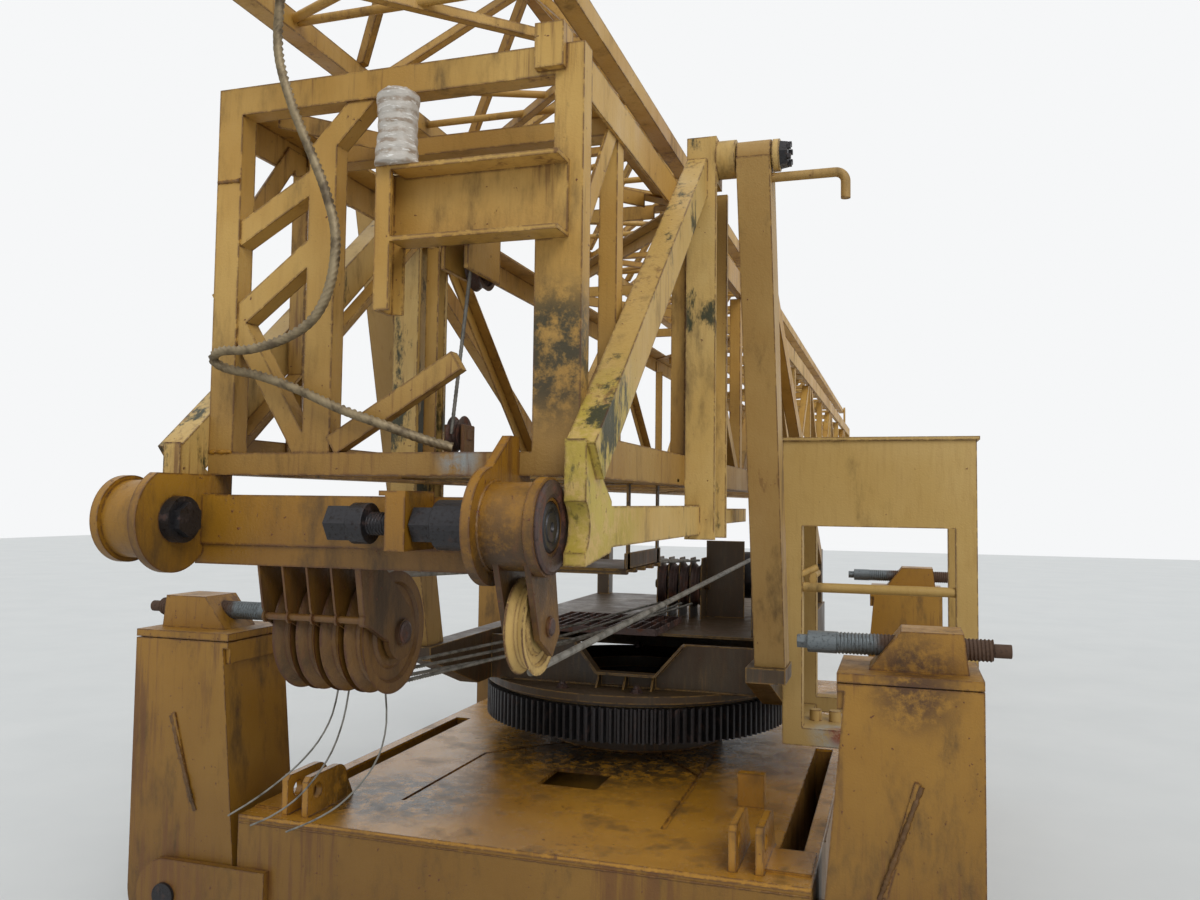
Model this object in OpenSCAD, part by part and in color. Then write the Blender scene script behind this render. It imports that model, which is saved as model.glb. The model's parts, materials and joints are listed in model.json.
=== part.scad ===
// Bottom-slewing tower crane, folded on its undercarriage.
// Origin: slewing axis on the ground. X to the right, Y along the folded tower, Z up.

/* [Undercarriage] */
// Width over the deck
deck_w = 1810; // [1700:10:1900]
// Length over the end beams
chassis_l = 3100; // [3060:10:3300]
// Height of the deck above the ground
deck_z = 580; // [540:10:640]
// Thickness of the deck plate
deck_t = 12; // [8:1:20]
// Width of the side beams
side_beam_w = 250; // [200:10:300]
// Width of the end beams
end_beam_w = 280; // [220:10:320]
// Height of the bearing pads under the frame
pad_h = 60; // [30:5:100]
// Length and width of a bearing pad
pad_w = 320; // [200:10:400]
// Length of the long slots beside the side beams
slot_l = 1240; // [900:10:1300]
// Width of the long slots
slot_w = 70; // [40:5:90]
// Depth of the long slots
slot_h = 240; // [100:10:300]
// Width of the joints between the deck plates
groove_w = 14; // [8:1:24]

/* [Outrigger legs] */
// Width of a leg across the crane
leg_w = 350; // [300:5:360]
// Depth of a leg along the crane
leg_d = 325; // [280:5:340]
// Height of the leg hinge above the ground
hinge_z = 300; // [260:5:330]
// Height of the leg's top plate when folded
leg_top_z = 1150; // [1100:5:1180]
// Thickness of the two head plates together
head_t = 48; // [30:2:60]
// How far the foot of a leg reaches inboard of its head
leg_taper = 75; // [0:5:75]
// Diameter of the hinge pin
hinge_d = 80; // [60:2:100]
// Height of the jack spindle when folded
jack_z = 1208; // [1200:1:1212]
// Diameter of the jack spindle
jack_d = 62; // [50:1:64]
// Length of the jack spindle
jack_l = 540; // [480:10:600]

/* [Slewing ring] */
// Tip diameter of the toothed ring
ring_d = 1330; // [1260:10:1360]
// Number of teeth
ring_teeth = 132; // [84:1:140]
// Height of a tooth
tooth_h = 22; // [14:1:26]
// Height of the toothed band
ring_h = 130; // [90:5:135]
// Diameter of the hole through the ring
ring_bore_d = 620; // [560:10:640]
// Diameter of the collar under the ring
collar_d = 760; // [740:10:900]
// Height of the collar under the ring
collar_h = 100; // [80:5:110]

/* [Slewing platform] */
// Distance of the tower to the right of the slewing axis
tower_x = 70; // [0:5:70]
// Height of the girders
girder_h = 200; // [160:5:205]
// Width of a girder
girder_w = 80; // [60:5:85]
// Distance between the girders
girder_gap = 1150; // [1140:5:1160]
// Front end of the girders, ahead of the slewing axis
girder_front = 1020; // [990:5:1040]
// Rear end of the girders, behind the slewing axis
girder_rear = 1290; // [1200:10:1300]
// Thickness of the base flange
flange_t = 30; // [20:1:40]
// Height of the tower pivot above the ground
pivot_z = 2645; // [2640:1:2660]
// Distance of the tower pivot ahead of the slewing axis
pivot_front = 1350; // [1330:5:1370]
// Diameter of the pivot stub
pivot_d = 60; // [50:1:70]

/* [Cage] */
// Width of the cage
cage_w = 660; // [600:5:660]
// Length of the cage
cage_l = 660; // [600:5:680]
// Top of the cage above the ground
cage_top_z = 1840; // [1700:10:1900]
// Bottom of the cage above the ground
cage_z = 740; // [735:5:800]
// Size of the cage posts
cage_post = 70; // [40:1:80]
// Height of the closed upper panel
cage_panel_h = 320; // [250:10:360]

/* [Tower] */
// Width of the lattice tower
tower_w = 900; // [880:5:900]
// Height of the lattice tower
tower_h = 880; // [860:5:900]
// Underside of the folded tower above the ground
tower_z = 1650; // [1650:1:1660]
// Number of bays
tower_bays = 10; // [8:1:11]
// Length of a bay
bay_l = 1040; // [1030:5:1050]
// Leg of the corner angles
chord_w = 90; // [70:2:100]
// Thickness of the corner angles
chord_t = 9; // [6:1:12]
// Width of the lacing angles
lace_w = 50; // [36:2:56]
// Thickness of the lacing angles
lace_t = 6; // [4:1:8]
// Depth of the lacing angles
lace_d = 44; // [30:2:46]

/* [Jib] */
// Distance between the two lower chords
jib_w = 700; // [640:10:720]
// Height of the upper chord over the lower ones
jib_h = 400; // [340:10:460]
// Size of the jib's square chords
jib_chord = 50; // [40:2:60]
// Size of the jib's lacing bars
jib_lace = 24; // [16:1:30]
// Number of jib bays
jib_bays = 16; // [12:1:18]
// Height of the jib's lower chords above the tower
jib_lift = 220; // [200:5:260]
// Length of the jib
jib_l = 10560; // [10500:10:10600]

/* [Tackle] */
// Outer diameter of the block sheaves
block_sheave_d = 280; // [240:5:280]
// Width of a sheave in the tower's block
block_sheave_w = 46; // [40:1:46]
// Width of the other sheaves
sheave_w = 38; // [30:1:42]
// Pitch of the sheaves in the tower's block
block_pitch = 61; // [61:1:66]
// Pitch of the sheaves in the fixed block
fixed_pitch = 52; // [48:1:54]
// Number of sheaves in a block
sheave_n = 4; // [3:1:4]
// Outer diameter of the fixed block's sheaves
fixed_sheave_d = 210; // [180:5:220]
// Diameter of the single sheave under the boss
single_sheave_d = 190; // [180:2:196]
// Diameter of the thick rope
thick_rope_d = 16; // [12:1:18]
// Diameter of the tackle ropes
thin_rope_d = 11; // [8:1:12]
// Diameter of the small guide sheave
guide_sheave_d = 110; // [90:5:120]
// Diameter of the laid rope that hangs at the foot end
lift_rope_d = 22; // [16:1:24]
// Diameter of the winch drum
drum_d = 240; // [200:5:260]
// Diameter of the locking pin
lock_pin_d = 100; // [80:2:104]

/* [Hidden] */
$fn = 48;

ochre = [0.78, 0.55, 0.16];
pale_ochre = [0.85, 0.68, 0.35];
dark_steel = [0.22, 0.22, 0.23];
rust = [0.42, 0.26, 0.16];
rope_grey = [0.55, 0.55, 0.52];

seat_gap = 0.3;
run_gap = 0.05;
move_gap = 5;

half_deck = deck_w / 2;
half_len = chassis_l / 2;
frame_top = deck_z - deck_t;

leg_in = half_deck + 85;
leg_x = leg_in + leg_w / 2;
leg_y1 = half_len - move_gap;
leg_y0 = leg_y1 - leg_d;
bracket_t = 25;
bracket_r = 115;
jack_y = leg_y0 + leg_d / 2;
head_z = leg_top_z - head_t;
housing_h = 108;
jack_in = leg_x - 285;

ring_z0 = deck_z + collar_h;
race_z = ring_z0 + ring_h + seat_gap;
flange_z0 = ring_z0 + ring_h + 20;
flange_z1 = flange_z0 + flange_t;
girder_z0 = flange_z1;
girder_z1 = girder_z0 + girder_h;
girder_in = girder_gap / 2;
girder_out = girder_in + girder_w;
slot_y0 = -1290;
lug_t = 22;
seam_h = 6;
front_plate_y = -470;
deck_plate_y = -330;

pivot_y = -pivot_front;
post_foot_y = -930;
post_in = 600;
post_w = 100;
post_d = 120;
strut_w = 45;
strut_d = 70;
strut_end_z = 1290;
tube_r = 14;
pivot_cap_r = 48;
slot_x = half_deck - 80;

cage_x0 = girder_out;
cage_x1 = cage_x0 + cage_w;
cage_y0 = -680;
cage_floor_l = 260;
cage_y1 = cage_y0 + cage_l;

half_tower = tower_w / 2;
tower_top_z = tower_z + tower_h;
tower_y0 = -2380;
tower_y1 = tower_y0 + tower_bays * bay_l;
end_d = 50;
head_d = 90;
foot_bay_y = tower_y0 + 300;
lace_y0 = tower_y0 + end_d;
lace_y1 = tower_y1 - head_d;

foot_t = 90;
boss_y = tower_y0 - 120;
boss_z = 1550;
boss_r = 85;
boss_flange_r = 95;
boss_flange_t = 20;
boss_in = 300;
boss_out = 435;
screw_r = 24;
left_boss_in = half_tower - 5;
left_boss_out = 568;
beam_left = -half_tower;
beam_y0 = tower_y0 - 40;
beam_y1 = beam_y0 + 110;
beam_z0 = 1450;
beam_z1 = 1605;

block_x = -160;
block_y = -2225;
block_z = 1295;
block_pin_d = 60;
cheek_t = 14;
fin_t = 5;
fixed_x = 70;
fixed_y = 300;
fixed_z = girder_z1 + 150;
fixed_pin_d = 40;
single_x = 375;
single_y = boss_y + 60;
single_z = 1355;
guide_x = 165;
guide_y = -2250;
guide_z = 2125;
drum_x0 = 215;
drum_x1 = 535;
drum_y = 500;
drum_z = girder_z1 + 190;

lift_route = [
    [-232, -2460, 2720], [-231, -2465, 2582], [-191, -2470, 2459], [-132, -2475, 2336],
    [-94, -2475, 2250], [-67, -2475, 2155], [-76, -2475, 2053], [-115, -2472, 1982],
    [-185, -2468, 1942], [-281, -2460, 1922], [-369, -2450, 1922], [-398, -2436, 1905],
    [-372, -2422, 1887], [-300, -2412, 1872], [-196, -2410, 1838], [-86, -2408, 1792],
    [19, -2398, 1756], [90, -2370, 1729], [150, -2345, 1711]
];

jib_z = tower_top_z + jib_lift;
jib_hinge_y = tower_y1 - 45;
jib_y0 = jib_hinge_y - jib_l;
half_jib = jib_w / 2;

// A round bar along X
module rod_x(r, x0, x1, y, z, fn = 48) {
    translate([x0, y, z]) rotate([0, 90, 0]) cylinder(r = r, h = x1 - x0, $fn = fn);
}

// A round bar along Y
module rod_y(r, y0, y1, x, z) {
    translate([x, y1, z]) rotate([90, 0, 0]) cylinder(r = r, h = y1 - y0);
}

// A block given by its two corners
module block(a, b) {
    translate(a) cube(b - a);
}

// A flat outline in Y and Z, given thickness along X
module plate_yz(x0, t) {
    translate([x0, 0, 0]) rotate([90, 0, 90]) linear_extrude(t) children();
}

// A flat outline in X and Z, given thickness along Y
module plate_xz(y0, t) {
    translate([0, y0 + t, 0]) rotate([90, 0, 0]) linear_extrude(t) children();
}

// The outline of a straight bar from p to q
module bar_2d(p, q, w, shift = 0) {
    d = (q - p) / norm(q - p);
    n = [-d[1], d[0]];
    polygon([
        p + n * (shift - w / 2), q + n * (shift - w / 2),
        q + n * (shift + w / 2), p + n * (shift + w / 2)
    ]);
}

// A rectangle given by its two corners
module rect(a, b) {
    translate(a) square(b - a);
}

// Both hands of a piece
module both_sides() {
    children();
    mirror([1, 0, 0]) children();
}

module chassis_frame() {
    color(ochre) difference() {
        union() {
            difference() {
                block([-half_deck, -half_len, pad_h], [half_deck, half_len, frame_top]);
                block(
                    [-half_deck + side_beam_w, -half_len + end_beam_w, pad_h - 1],
                    [half_deck - side_beam_w, half_len - end_beam_w, frame_top + 1]
                );
            }
            difference() {
                translate([0, 0, pad_h + 120]) cylinder(d = ring_d - 60, h = frame_top - pad_h - 120);
                translate([0, 0, pad_h]) cylinder(d = ring_d - 180, h = frame_top);
            }
            block(
                [-half_deck + side_beam_w - 1, -150, 0],
                [half_deck - side_beam_w + 1, 150, pad_h + 121]
            );
            for (sx = [-1, 1], sy = [-1, 1]) {
                translate([sx * (half_deck - pad_w / 2), sy * (half_len - pad_w / 2), pad_h / 2 + 0.5])
                    cube([pad_w, pad_w, pad_h + 1], center = true);
            }
            leg_brackets();
        }
        for (sx = [-1, 1], sy = [-1, 1]) {
            rod_y(
                hinge_d / 2 + seat_gap, sy * jack_y - leg_d, sy * jack_y + leg_d, sx * leg_x, hinge_z
            );
        }
        both_sides() slot(frame_top - slot_h);
    }
}

// The long slot beside the right edge of the deck, cut down to z
module slot(z) {
    block([slot_x - slot_w / 2, slot_y0, z], [slot_x + slot_w / 2, slot_y0 + slot_l, deck_z + 1]);
}

module leg_brackets() {
    for (sx = [0, 1], sy = [0, 1]) {
        mirror([sx, 0, 0]) mirror([0, sy, 0]) {
            for (y = [half_len, leg_y0 - move_gap - bracket_t]) {
                plate_xz(y, bracket_t) union() {
                    rect([half_deck - 120, hinge_z - bracket_r], [leg_x, hinge_z + bracket_r]);
                    translate([leg_x, hinge_z]) circle(bracket_r);
                }
            }
        }
    }
}

// Seams between the deck plates, as lines of points
seams = [
    [[-481, -1244], [-468, -591], [-216, -305]],
    [[16, -406], [191, -341], [413, -631], [422, -1229]],
    [[413, -631], [410, -288]]
];

module deck_plate() {
    color(ochre) difference() {
        block([-half_deck, -half_len, frame_top], [half_deck, half_len, deck_z]);
        block([-120, -910, frame_top - 1], [100, -700, deck_z + 1]);
        both_sides() slot(frame_top - 1);
        translate([0, 0, deck_z - seam_h]) linear_extrude(seam_h + 1) {
            for (line = seams, i = [1:len(line) - 1]) bar_2d(line[i - 1], line[i], groove_w);
        }
    }
}

module deck_lugs() {
    color(pale_ochre) {
        both_sides() {
            for (x = [half_deck - 230, half_deck - 155]) {
                plate_yz(x, lug_t) translate([-half_len, deck_z]) difference() {
                    union() {
                        polygon([[40, 0], [310, 0], [270, 70], [210, 125], [55, 125], [40, 110]]);
                        translate([210, 65]) circle(60);
                    }
                    translate([95, 72]) circle(24);
                }
            }
            block(
                [half_deck - 155 + lug_t, -half_len + 75, deck_z],
                [half_deck - 6, -half_len + 250, deck_z + 8]
            );
        }
        block([605, -925, deck_z], [695, -885, deck_z + 110]);
    }
}

module ring_collar() {
    color(ochre) difference() {
        translate([0, 0, deck_z]) cylinder(d = collar_d, h = collar_h);
        translate([0, 0, deck_z - 1]) cylinder(d = ring_bore_d, h = collar_h + 2);
    }
}

function tooth_points(n, tip, h) = [
    for (i = [0:n - 1], k = [0:3])
        let (
            a = 360 / n * (i + [0, 0.22, 0.5, 0.72][k]),
            r = k == 1 || k == 2 ? tip : tip - h
        )
        [r * cos(a), r * sin(a)]
];

module slew_ring() {
    color(dark_steel) difference() {
        translate([0, 0, ring_z0]) linear_extrude(ring_h)
            polygon(tooth_points(ring_teeth, ring_d / 2, tooth_h));
        translate([0, 0, ring_z0 - 1]) cylinder(d = ring_bore_d, h = ring_h + 2);
    }
}

module leg_pins() {
    color(dark_steel) for (sx = [-1, 1], sy = [-1, 1]) {
        rod_y(
            hinge_d / 2,
            sy * (leg_y0 + leg_y1) / 2 - leg_d / 2 - move_gap - bracket_t - 10,
            sy * (leg_y0 + leg_y1) / 2 + leg_d / 2 + move_gap + bracket_t + 10,
            sx * leg_x, hinge_z
        );
    }
}

// One leg at the right front, folded up beside the deck
module leg() {
    x1 = leg_in + leg_w;
    foot_x = leg_in - leg_taper;
    rib_z0 = hinge_z + 280;
    rib_z1 = hinge_z + 580;
    color(ochre) difference() {
        union() {
            plate_xz(-leg_y1, leg_d) union() {
                polygon([
                    [leg_in, head_z], [x1, head_z], [x1, hinge_z], [leg_x, hinge_z - leg_w / 2],
                    [foot_x + 40, hinge_z - 110], [foot_x, hinge_z]
                ]);
                translate([leg_x, hinge_z]) circle(leg_w / 2);
            }
            plate_xz(-leg_y1 - move_gap, move_gap + 1)
                bar_2d([leg_in + 100, rib_z0], [leg_in + 185, rib_z1], 14);
            block([leg_in - 20, -leg_y1 + 12, head_z - 50], [leg_in + 1, -leg_y0 - 12, head_z + 1]);
            block([leg_in - 20, -leg_y1, head_z], [x1, -leg_y0, head_z + head_t / 2 - 4]);
            block([leg_in + 4, -leg_y1 + 12, head_z], [x1 - 12, -leg_y0 - 12, head_z + head_t / 2]);
            block([leg_in - 20, -leg_y1, head_z + head_t / 2], [x1, -leg_y0, leg_top_z]);
            plate_xz(-jack_y - 80, 160) polygon([
                [leg_in + 60, leg_top_z], [x1 - 32, leg_top_z],
                [x1 - 45, leg_top_z + housing_h], [leg_in + 145, leg_top_z + housing_h]
            ]);
        }
        rod_y(hinge_d / 2 + run_gap, -leg_y1 - 1, -leg_y0 + 1, leg_x, hinge_z);
        rod_x(jack_d / 2 + run_gap, leg_in - 20, x1 + 20, -jack_y, jack_z);
    }
}

module leg_fr() { leg(); }
module leg_fl() { mirror([1, 0, 0]) leg(); }
module leg_rr() { mirror([0, 1, 0]) leg(); }
module leg_rl() { mirror([1, 0, 0]) mirror([0, 1, 0]) leg(); }

module jack() {
    color(dark_steel) {
        rod_x(jack_d / 2, jack_in, jack_in + jack_l - 45, -jack_y, jack_z);
        rod_x(jack_d / 2 - 12, jack_in + jack_l - 45, jack_in + jack_l, -jack_y, jack_z);
        rod_x(jack_d / 2 - 10, jack_in - 30, jack_in, -jack_y, jack_z, 6);
    }
}

module jack_fr() { jack(); }
module jack_fl() { mirror([1, 0, 0]) jack(); }
module jack_rr() { mirror([0, 1, 0]) jack(); }
module jack_rl() { mirror([1, 0, 0]) mirror([0, 1, 0]) jack(); }

module base_flange() {
    color(ochre) difference() {
        union() {
            translate([0, 0, flange_z0]) cylinder(d = ring_d, h = flange_t, $fn = 96);
            translate([0, 0, race_z]) cylinder(d = ring_d - 80, h = flange_z0 - race_z + 1);
        }
        translate([0, 0, ring_z0]) cylinder(d = ring_bore_d, h = ring_h + 200);
        for (i = [0:11]) {
            rotate([0, 0, i * 30 + 15]) translate([ring_d / 2 - 75, 0, flange_z0 - 30])
                cylinder(d = 26, h = 100);
        }
    }
}

// Outline of the front wall with its notch, as left and right edges
wall_notch = [
    [250, girder_z1 - 20], [140, flange_z1 + 55], [-100, flange_z1 + 55], [-200, girder_z1 - 20]
];

module platform_frame() {
    color(ochre) {
        both_sides() {
            plate_yz(girder_in, girder_w) polygon([
                [-girder_front, girder_z1], [-girder_front, girder_z1 - 50], [front_plate_y - 130, girder_z0],
                [girder_rear, girder_z0], [girder_rear, girder_z1]
            ]);
            block(
                [girder_in, -girder_front, girder_z1 - 50],
                [post_in + post_w + 5, post_foot_y + 90, girder_z1]
            );
            block(
                [girder_in, girder_rear - 80, girder_z1 - 1],
                [post_in + strut_w, girder_rear, strut_end_z + 60]
            );
        }
        plate_xz(front_plate_y, 20) polygon(concat(
            [[-girder_in, girder_z0], [girder_in, girder_z0], [girder_in, girder_z1 - 20]],
            wall_notch, [[-girder_in, girder_z1 - 20]]
        ));
        plate_xz(front_plate_y - 45, 50) for (i = [1:3]) {
            bar_2d(wall_notch[i - 1], wall_notch[i], 10);
        }
        for (x = [-100, 12, 125]) {
            plate_yz(x, 8) polygon([
                [front_plate_y - 60, flange_z1], [front_plate_y + 1, flange_z1],
                [front_plate_y + 1, flange_z1 + 52], [front_plate_y - 20, flange_z1 + 52]
            ]);
        }
        block([-girder_in, 640, girder_z0], [girder_in, 660, girder_z1 - 10]);
        block([-girder_in, girder_rear - 20, girder_z0], [girder_in, girder_rear, girder_z1 - 10]);
        block([-girder_in, deck_plate_y, girder_z1 - 10], [girder_in, girder_rear, girder_z1]);
        block([485, -300, girder_z1 - 1], [520, -292, girder_z1 + 195]);
    }
}

// Outline of an inclined post, grown by g
module post_outline(g) {
    intersection() {
        bar_2d([post_foot_y + 40, girder_z1 - 145], [pivot_y, pivot_z], post_d + 2 * g);
        rect([-2000, girder_z1], [0, pivot_z]);
    }
    translate([pivot_y, pivot_z]) circle(post_d / 2 - 12 + g);
}

// The long stay from the head of a post to the rear end of the girder
module back_stay() {
    color(ochre) plate_yz(post_in, strut_w) difference() {
        intersection() {
            bar_2d([pivot_y, pivot_z - 10], [girder_rear - 40, strut_end_z], strut_d);
            rect([pivot_y, strut_end_z - 100], [girder_rear - 80 - seat_gap, pivot_z]);
        }
        post_outline(seat_gap);
    }
}

module back_stay_r() { back_stay(); }
module back_stay_l() { mirror([1, 0, 0]) back_stay(); }

// The inclined post that carries the tower's pivot
module a_post(hand) {
    color(ochre) difference() {
        union() {
            plate_yz(post_in, post_w) intersection() {
                bar_2d([post_foot_y + 40, girder_z1 - 145], [pivot_y, pivot_z], post_d);
                rect([-2000, girder_z1], [0, pivot_z]);
            }
            rod_x(post_d / 2 - 12, post_in, post_in + post_w, pivot_y, pivot_z);
            if (hand == 1) grab_tube();
        }
        rod_x(pivot_d / 2 + run_gap, post_in - 1, post_in + post_w + 1, pivot_y, pivot_z);
    }
}

// Bent tube that stands out from the right post
module grab_tube() {
    z = pivot_z - pivot_cap_r - move_gap - tube_r;
    x = post_in + post_w;
    reach = 185;
    bend = 30;
    rod_x(tube_r, x - 5, x + reach, pivot_y, z);
    translate([x + reach, pivot_y, z - bend]) rotate([90, 0, 0]) rotate_extrude(angle = 90, $fn = 48)
        translate([bend, 0]) circle(tube_r);
    translate([x + reach + bend, pivot_y, z - bend - 50]) cylinder(r = tube_r, h = 50);
}

module a_post_r() { a_post(1); }
module a_post_l() { mirror([1, 0, 0]) a_post(2); }

// Radius at the bottom of a sheave's groove
function groove_r(d) = d / 2 * 0.86;

function sheave_points(r, bore, w) = [
    [bore, -w / 2 + 1], [r * 0.55, -w / 2 + 1], [r * 0.6, -w / 2 + 8], [r * 0.78, -w / 2 + 8],
    [r * 0.82, -w / 2], [r, -w / 2], [r * 0.9, -w * 0.22], [groove_r(2 * r), -w * 0.1],
    [groove_r(2 * r), w * 0.1], [r * 0.9, w * 0.22], [r, w / 2], [r * 0.82, w / 2],
    [r * 0.78, w / 2 - 8], [r * 0.6, w / 2 - 8], [r * 0.55, w / 2 - 1], [bore, w / 2 - 1]
];

// A grooved sheave turning about X
module sheave(r, bore, w, x, y, z) {
    translate([x, y, z]) rotate([0, 90, 0]) rotate_extrude($fn = 64) polygon(sheave_points(r, bore, w));
}

module fixed_block() {
    half_n = sheave_n / 2;
    color(ochre) {
        for (i = [0:sheave_n]) {
            plate_yz(fixed_x + (i - half_n) * fixed_pitch - fin_t / 2, fin_t) difference() {
                polygon([
                    [fixed_y - 90, girder_z1], [fixed_y + 90, girder_z1], [fixed_y + 70, fixed_z + 60],
                    [fixed_y + 40, fixed_z + 130], [fixed_y - 60, fixed_z + 130], [fixed_y - 80, fixed_z + 60]
                ]);
                translate([fixed_y, fixed_z]) circle(fixed_pin_d / 2 + seat_gap);
            }
        }
        reach = (half_n + 0.5) * fixed_pitch;
        rod_x(fixed_pin_d / 2, fixed_x - reach, fixed_x + reach, fixed_y, fixed_z);
    }
}

module fixed_sheaves() {
    color(rust) for (i = [0:sheave_n - 1]) {
        sheave(
            fixed_sheave_d / 2, fixed_pin_d / 2 + run_gap, fixed_pitch - fin_t - 2 * move_gap,
            fixed_x + (i - (sheave_n - 1) / 2) * fixed_pitch, fixed_y, fixed_z
        );
    }
}

module winch_frame() {
    color(ochre) {
        for (x = [drum_x0 - 30, drum_x1 + 12]) {
            plate_yz(x, 18) difference() {
                polygon([
                    [drum_y - 160, girder_z1], [drum_y + 160, girder_z1], [drum_y + 90, drum_z + 90],
                    [drum_y - 90, drum_z + 90]
                ]);
                translate([drum_y, drum_z]) circle(30 + run_gap);
            }
        }
        block([180, drum_y - 180, girder_z1], [360, drum_y - 172, girder_z1 + 360]);
    }
}

module winch_drum() {
    color(dark_steel) {
        rod_x(drum_d / 2 - 30, drum_x0, drum_x1, drum_y, drum_z);
        rod_x(drum_d / 2 + 10, drum_x0, drum_x0 + 12, drum_y, drum_z);
        rod_x(drum_d / 2 + 10, drum_x1 - 12, drum_x1, drum_y, drum_z);
        rod_x(drum_d / 2 - 8, drum_x0 + 12, drum_x1 - 12, drum_y, drum_z);
        rod_x(30, drum_x0 - 34, drum_x1 + 34, drum_y, drum_z);
    }
}

module cage_frame() {
    p = cage_post;
    color(pale_ochre) {
        for (x = [cage_x0, cage_x1 - p], y = [cage_y0, cage_y1 - p]) {
            block([x, y, cage_z], [x + p, y + p, cage_top_z - 12]);
        }
        block([cage_x0, cage_y0 - 10, cage_top_z - 12], [cage_x1 + 10, cage_y1, cage_top_z]);
        block([cage_x0, cage_y0, cage_top_z - cage_panel_h], [cage_x1, cage_y0 + 6, cage_top_z - 12]);
        for (y = [cage_y0, cage_y1 - p]) {
            block([cage_x0, y, cage_z], [cage_x1, y + p, cage_z + 62]);
        }
        for (x = [cage_x0, cage_x1 - p]) {
            block([x, cage_y0, cage_z], [x + p, cage_y1, cage_z + 30]);
        }
        block([cage_x0, cage_y0, cage_z + 56], [cage_x1, cage_y0 + cage_floor_l, cage_z + 62]);
        for (x = [105, 175]) {
            translate([cage_x0 + x, cage_y0 + 150, cage_z + 61]) cylinder(d = 44, h = 40);
        }
    }
}

module cage_rail() {
    p = cage_post;
    color(pale_ochre) {
        rod_x(17, cage_x0 + p + seat_gap, cage_x1 - p - seat_gap, cage_y0 + 22, 1300);
        rod_y(14, cage_y0 + 39, cage_y0 + 210, cage_x0 + p + 35, 1340);
        block([cage_x0 + p + 21, cage_y0 + 39, 1290], [cage_x0 + p + 49, cage_y0 + 60, 1340]);
        block([cage_x0 + p + 21, cage_y0 + 20, 1290], [cage_x0 + p + 49, cage_y0 + 60, 1310]);
    }
}

// The frame at the tower's foot end, nearest the viewer
module end_frame() {
    z0 = tower_z;
    z1 = tower_top_z;
    post = 65;
    color(ochre) {
        plate_xz(tower_y0, end_d) union() {
            rect([-half_tower, z0], [-half_tower + post, z1]);
            rect([half_tower - post, z0], [half_tower, z1]);
            rect([half_tower - 104, z0], [half_tower, z0 + 490]);
            rect([-half_tower, z1 - 45], [half_tower, z1 + 20]);
            rect([-half_tower, z0], [half_tower, z0 + 50]);
        }
        plate_xz(tower_y0 + 5, end_d - 5 - seat_gap) union() {
            rect([-205, z0 + 10], [-135, z1 - 130]);
            bar_2d([-415, z0 + 540], [-150, z1 - 190], 50);
            bar_2d([-190, z1 - 160], [-60, z1 - 30], 50);
            bar_2d([-415, z0 + 340], [-150, z0 + 540], 50);
            bar_2d([-440, z0 + 430], [-190, z0 + 30], 45);
        }
        plate_xz(tower_y0 + 2, 30) bar_2d([-130, z0 + 65], [170, z0 + 245], 45);
        block([half_tower - 104, tower_y0 - 20, z1 - 35], [half_tower - 40, tower_y0 + 40, z1 + 60]);
    }
}

// The frame at the far end, with the ears of the jib hinge
module head_frame() {
    z0 = tower_z;
    z1 = tower_top_z;
    color(ochre) difference() {
        union() {
            plate_xz(lace_y1, head_d) union() {
                rect([-half_tower, z0], [-half_tower + 90, z1]);
                rect([half_tower - 90, z0], [half_tower, z1]);
                rect([-half_tower, z1 - 80], [half_tower, z1]);
                rect([-half_tower, z0], [half_tower, z0 + 80]);
            }
            for (s = [-1, 1]) {
                plate_yz(s * (half_jib + jib_chord / 2 + 15) - 10, 20) union() {
                    rect([jib_hinge_y - 45, z1 - 10], [jib_hinge_y + 45, jib_z]);
                    translate([jib_hinge_y, jib_z]) circle(45);
                }
            }
        }
        rod_x(15 + run_gap, -half_tower, half_tower, jib_hinge_y, jib_z);
    }
}

// Lacing of one flat side: posts at each bay and diagonals that change hand
module lacing(h, w, shift) {
    for (i = [1:tower_bays - 1]) {
        bar_2d([tower_y0 + i * bay_l, 0], [tower_y0 + i * bay_l, h], w, shift);
    }
    for (i = [0:tower_bays - 1]) {
        a = i % 2 == 0 ? 0 : h;
        bar_2d([tower_y0 + i * bay_l, a], [tower_y0 + (i + 1) * bay_l, h - a], w, shift);
    }
}

// A lattice side in a plane of its own: flat parts, then the standing legs of the angles
module lacing_angles(h, edge) {
    linear_extrude(lace_t) intersection() {
        lacing(h, lace_w, 0);
        rect([lace_y0, edge], [lace_y1, h - edge]);
    }
    linear_extrude(lace_d) intersection() {
        lacing(h, lace_t, lace_w / 2 - lace_t / 2);
        rect([lace_y0, chord_w + 4], [lace_y1, h - chord_w - 4]);
    }
}

// The short bay at the foot end of a side
module foot_bay(h, edge) {
    linear_extrude(lace_t) intersection() {
        union() {
            bar_2d([foot_bay_y, 0], [foot_bay_y, h], lace_w);
            bar_2d([tower_y0, h / 2 + 40], [foot_bay_y, h], lace_w);
        }
        rect([lace_y0, edge], [lace_y1, h - edge]);
    }
    shift = lace_w / 2 - lace_t / 2;
    linear_extrude(lace_d) bar_2d([foot_bay_y, chord_w + 4], [foot_bay_y, h - chord_w - 4], lace_t, shift);
}

module side_lacing(h, edge) {
    lacing_angles(h, edge);
    foot_bay(h, edge);
}

// A corner angle along the tower, with its corner at the outside
module chord(z, up) {
    x = half_tower;
    s = up ? -1 : 1;
    block([x - chord_t, lace_y0, min(z, z + s * chord_w)], [x, lace_y1, max(z, z + s * chord_w)]);
    block([x - chord_w, lace_y0, min(z, z + s * chord_t)], [x, lace_y1, max(z, z + s * chord_t)]);
}

module tower_side() {
    color(ochre) {
        chord(tower_top_z, true);
        chord(tower_z, false);
        translate([half_tower - chord_t, 0, tower_z]) mirror([1, 0, 0]) rotate([90, 0, 90])
            side_lacing(tower_h, chord_t + lace_t + 12);
    }
}

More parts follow.
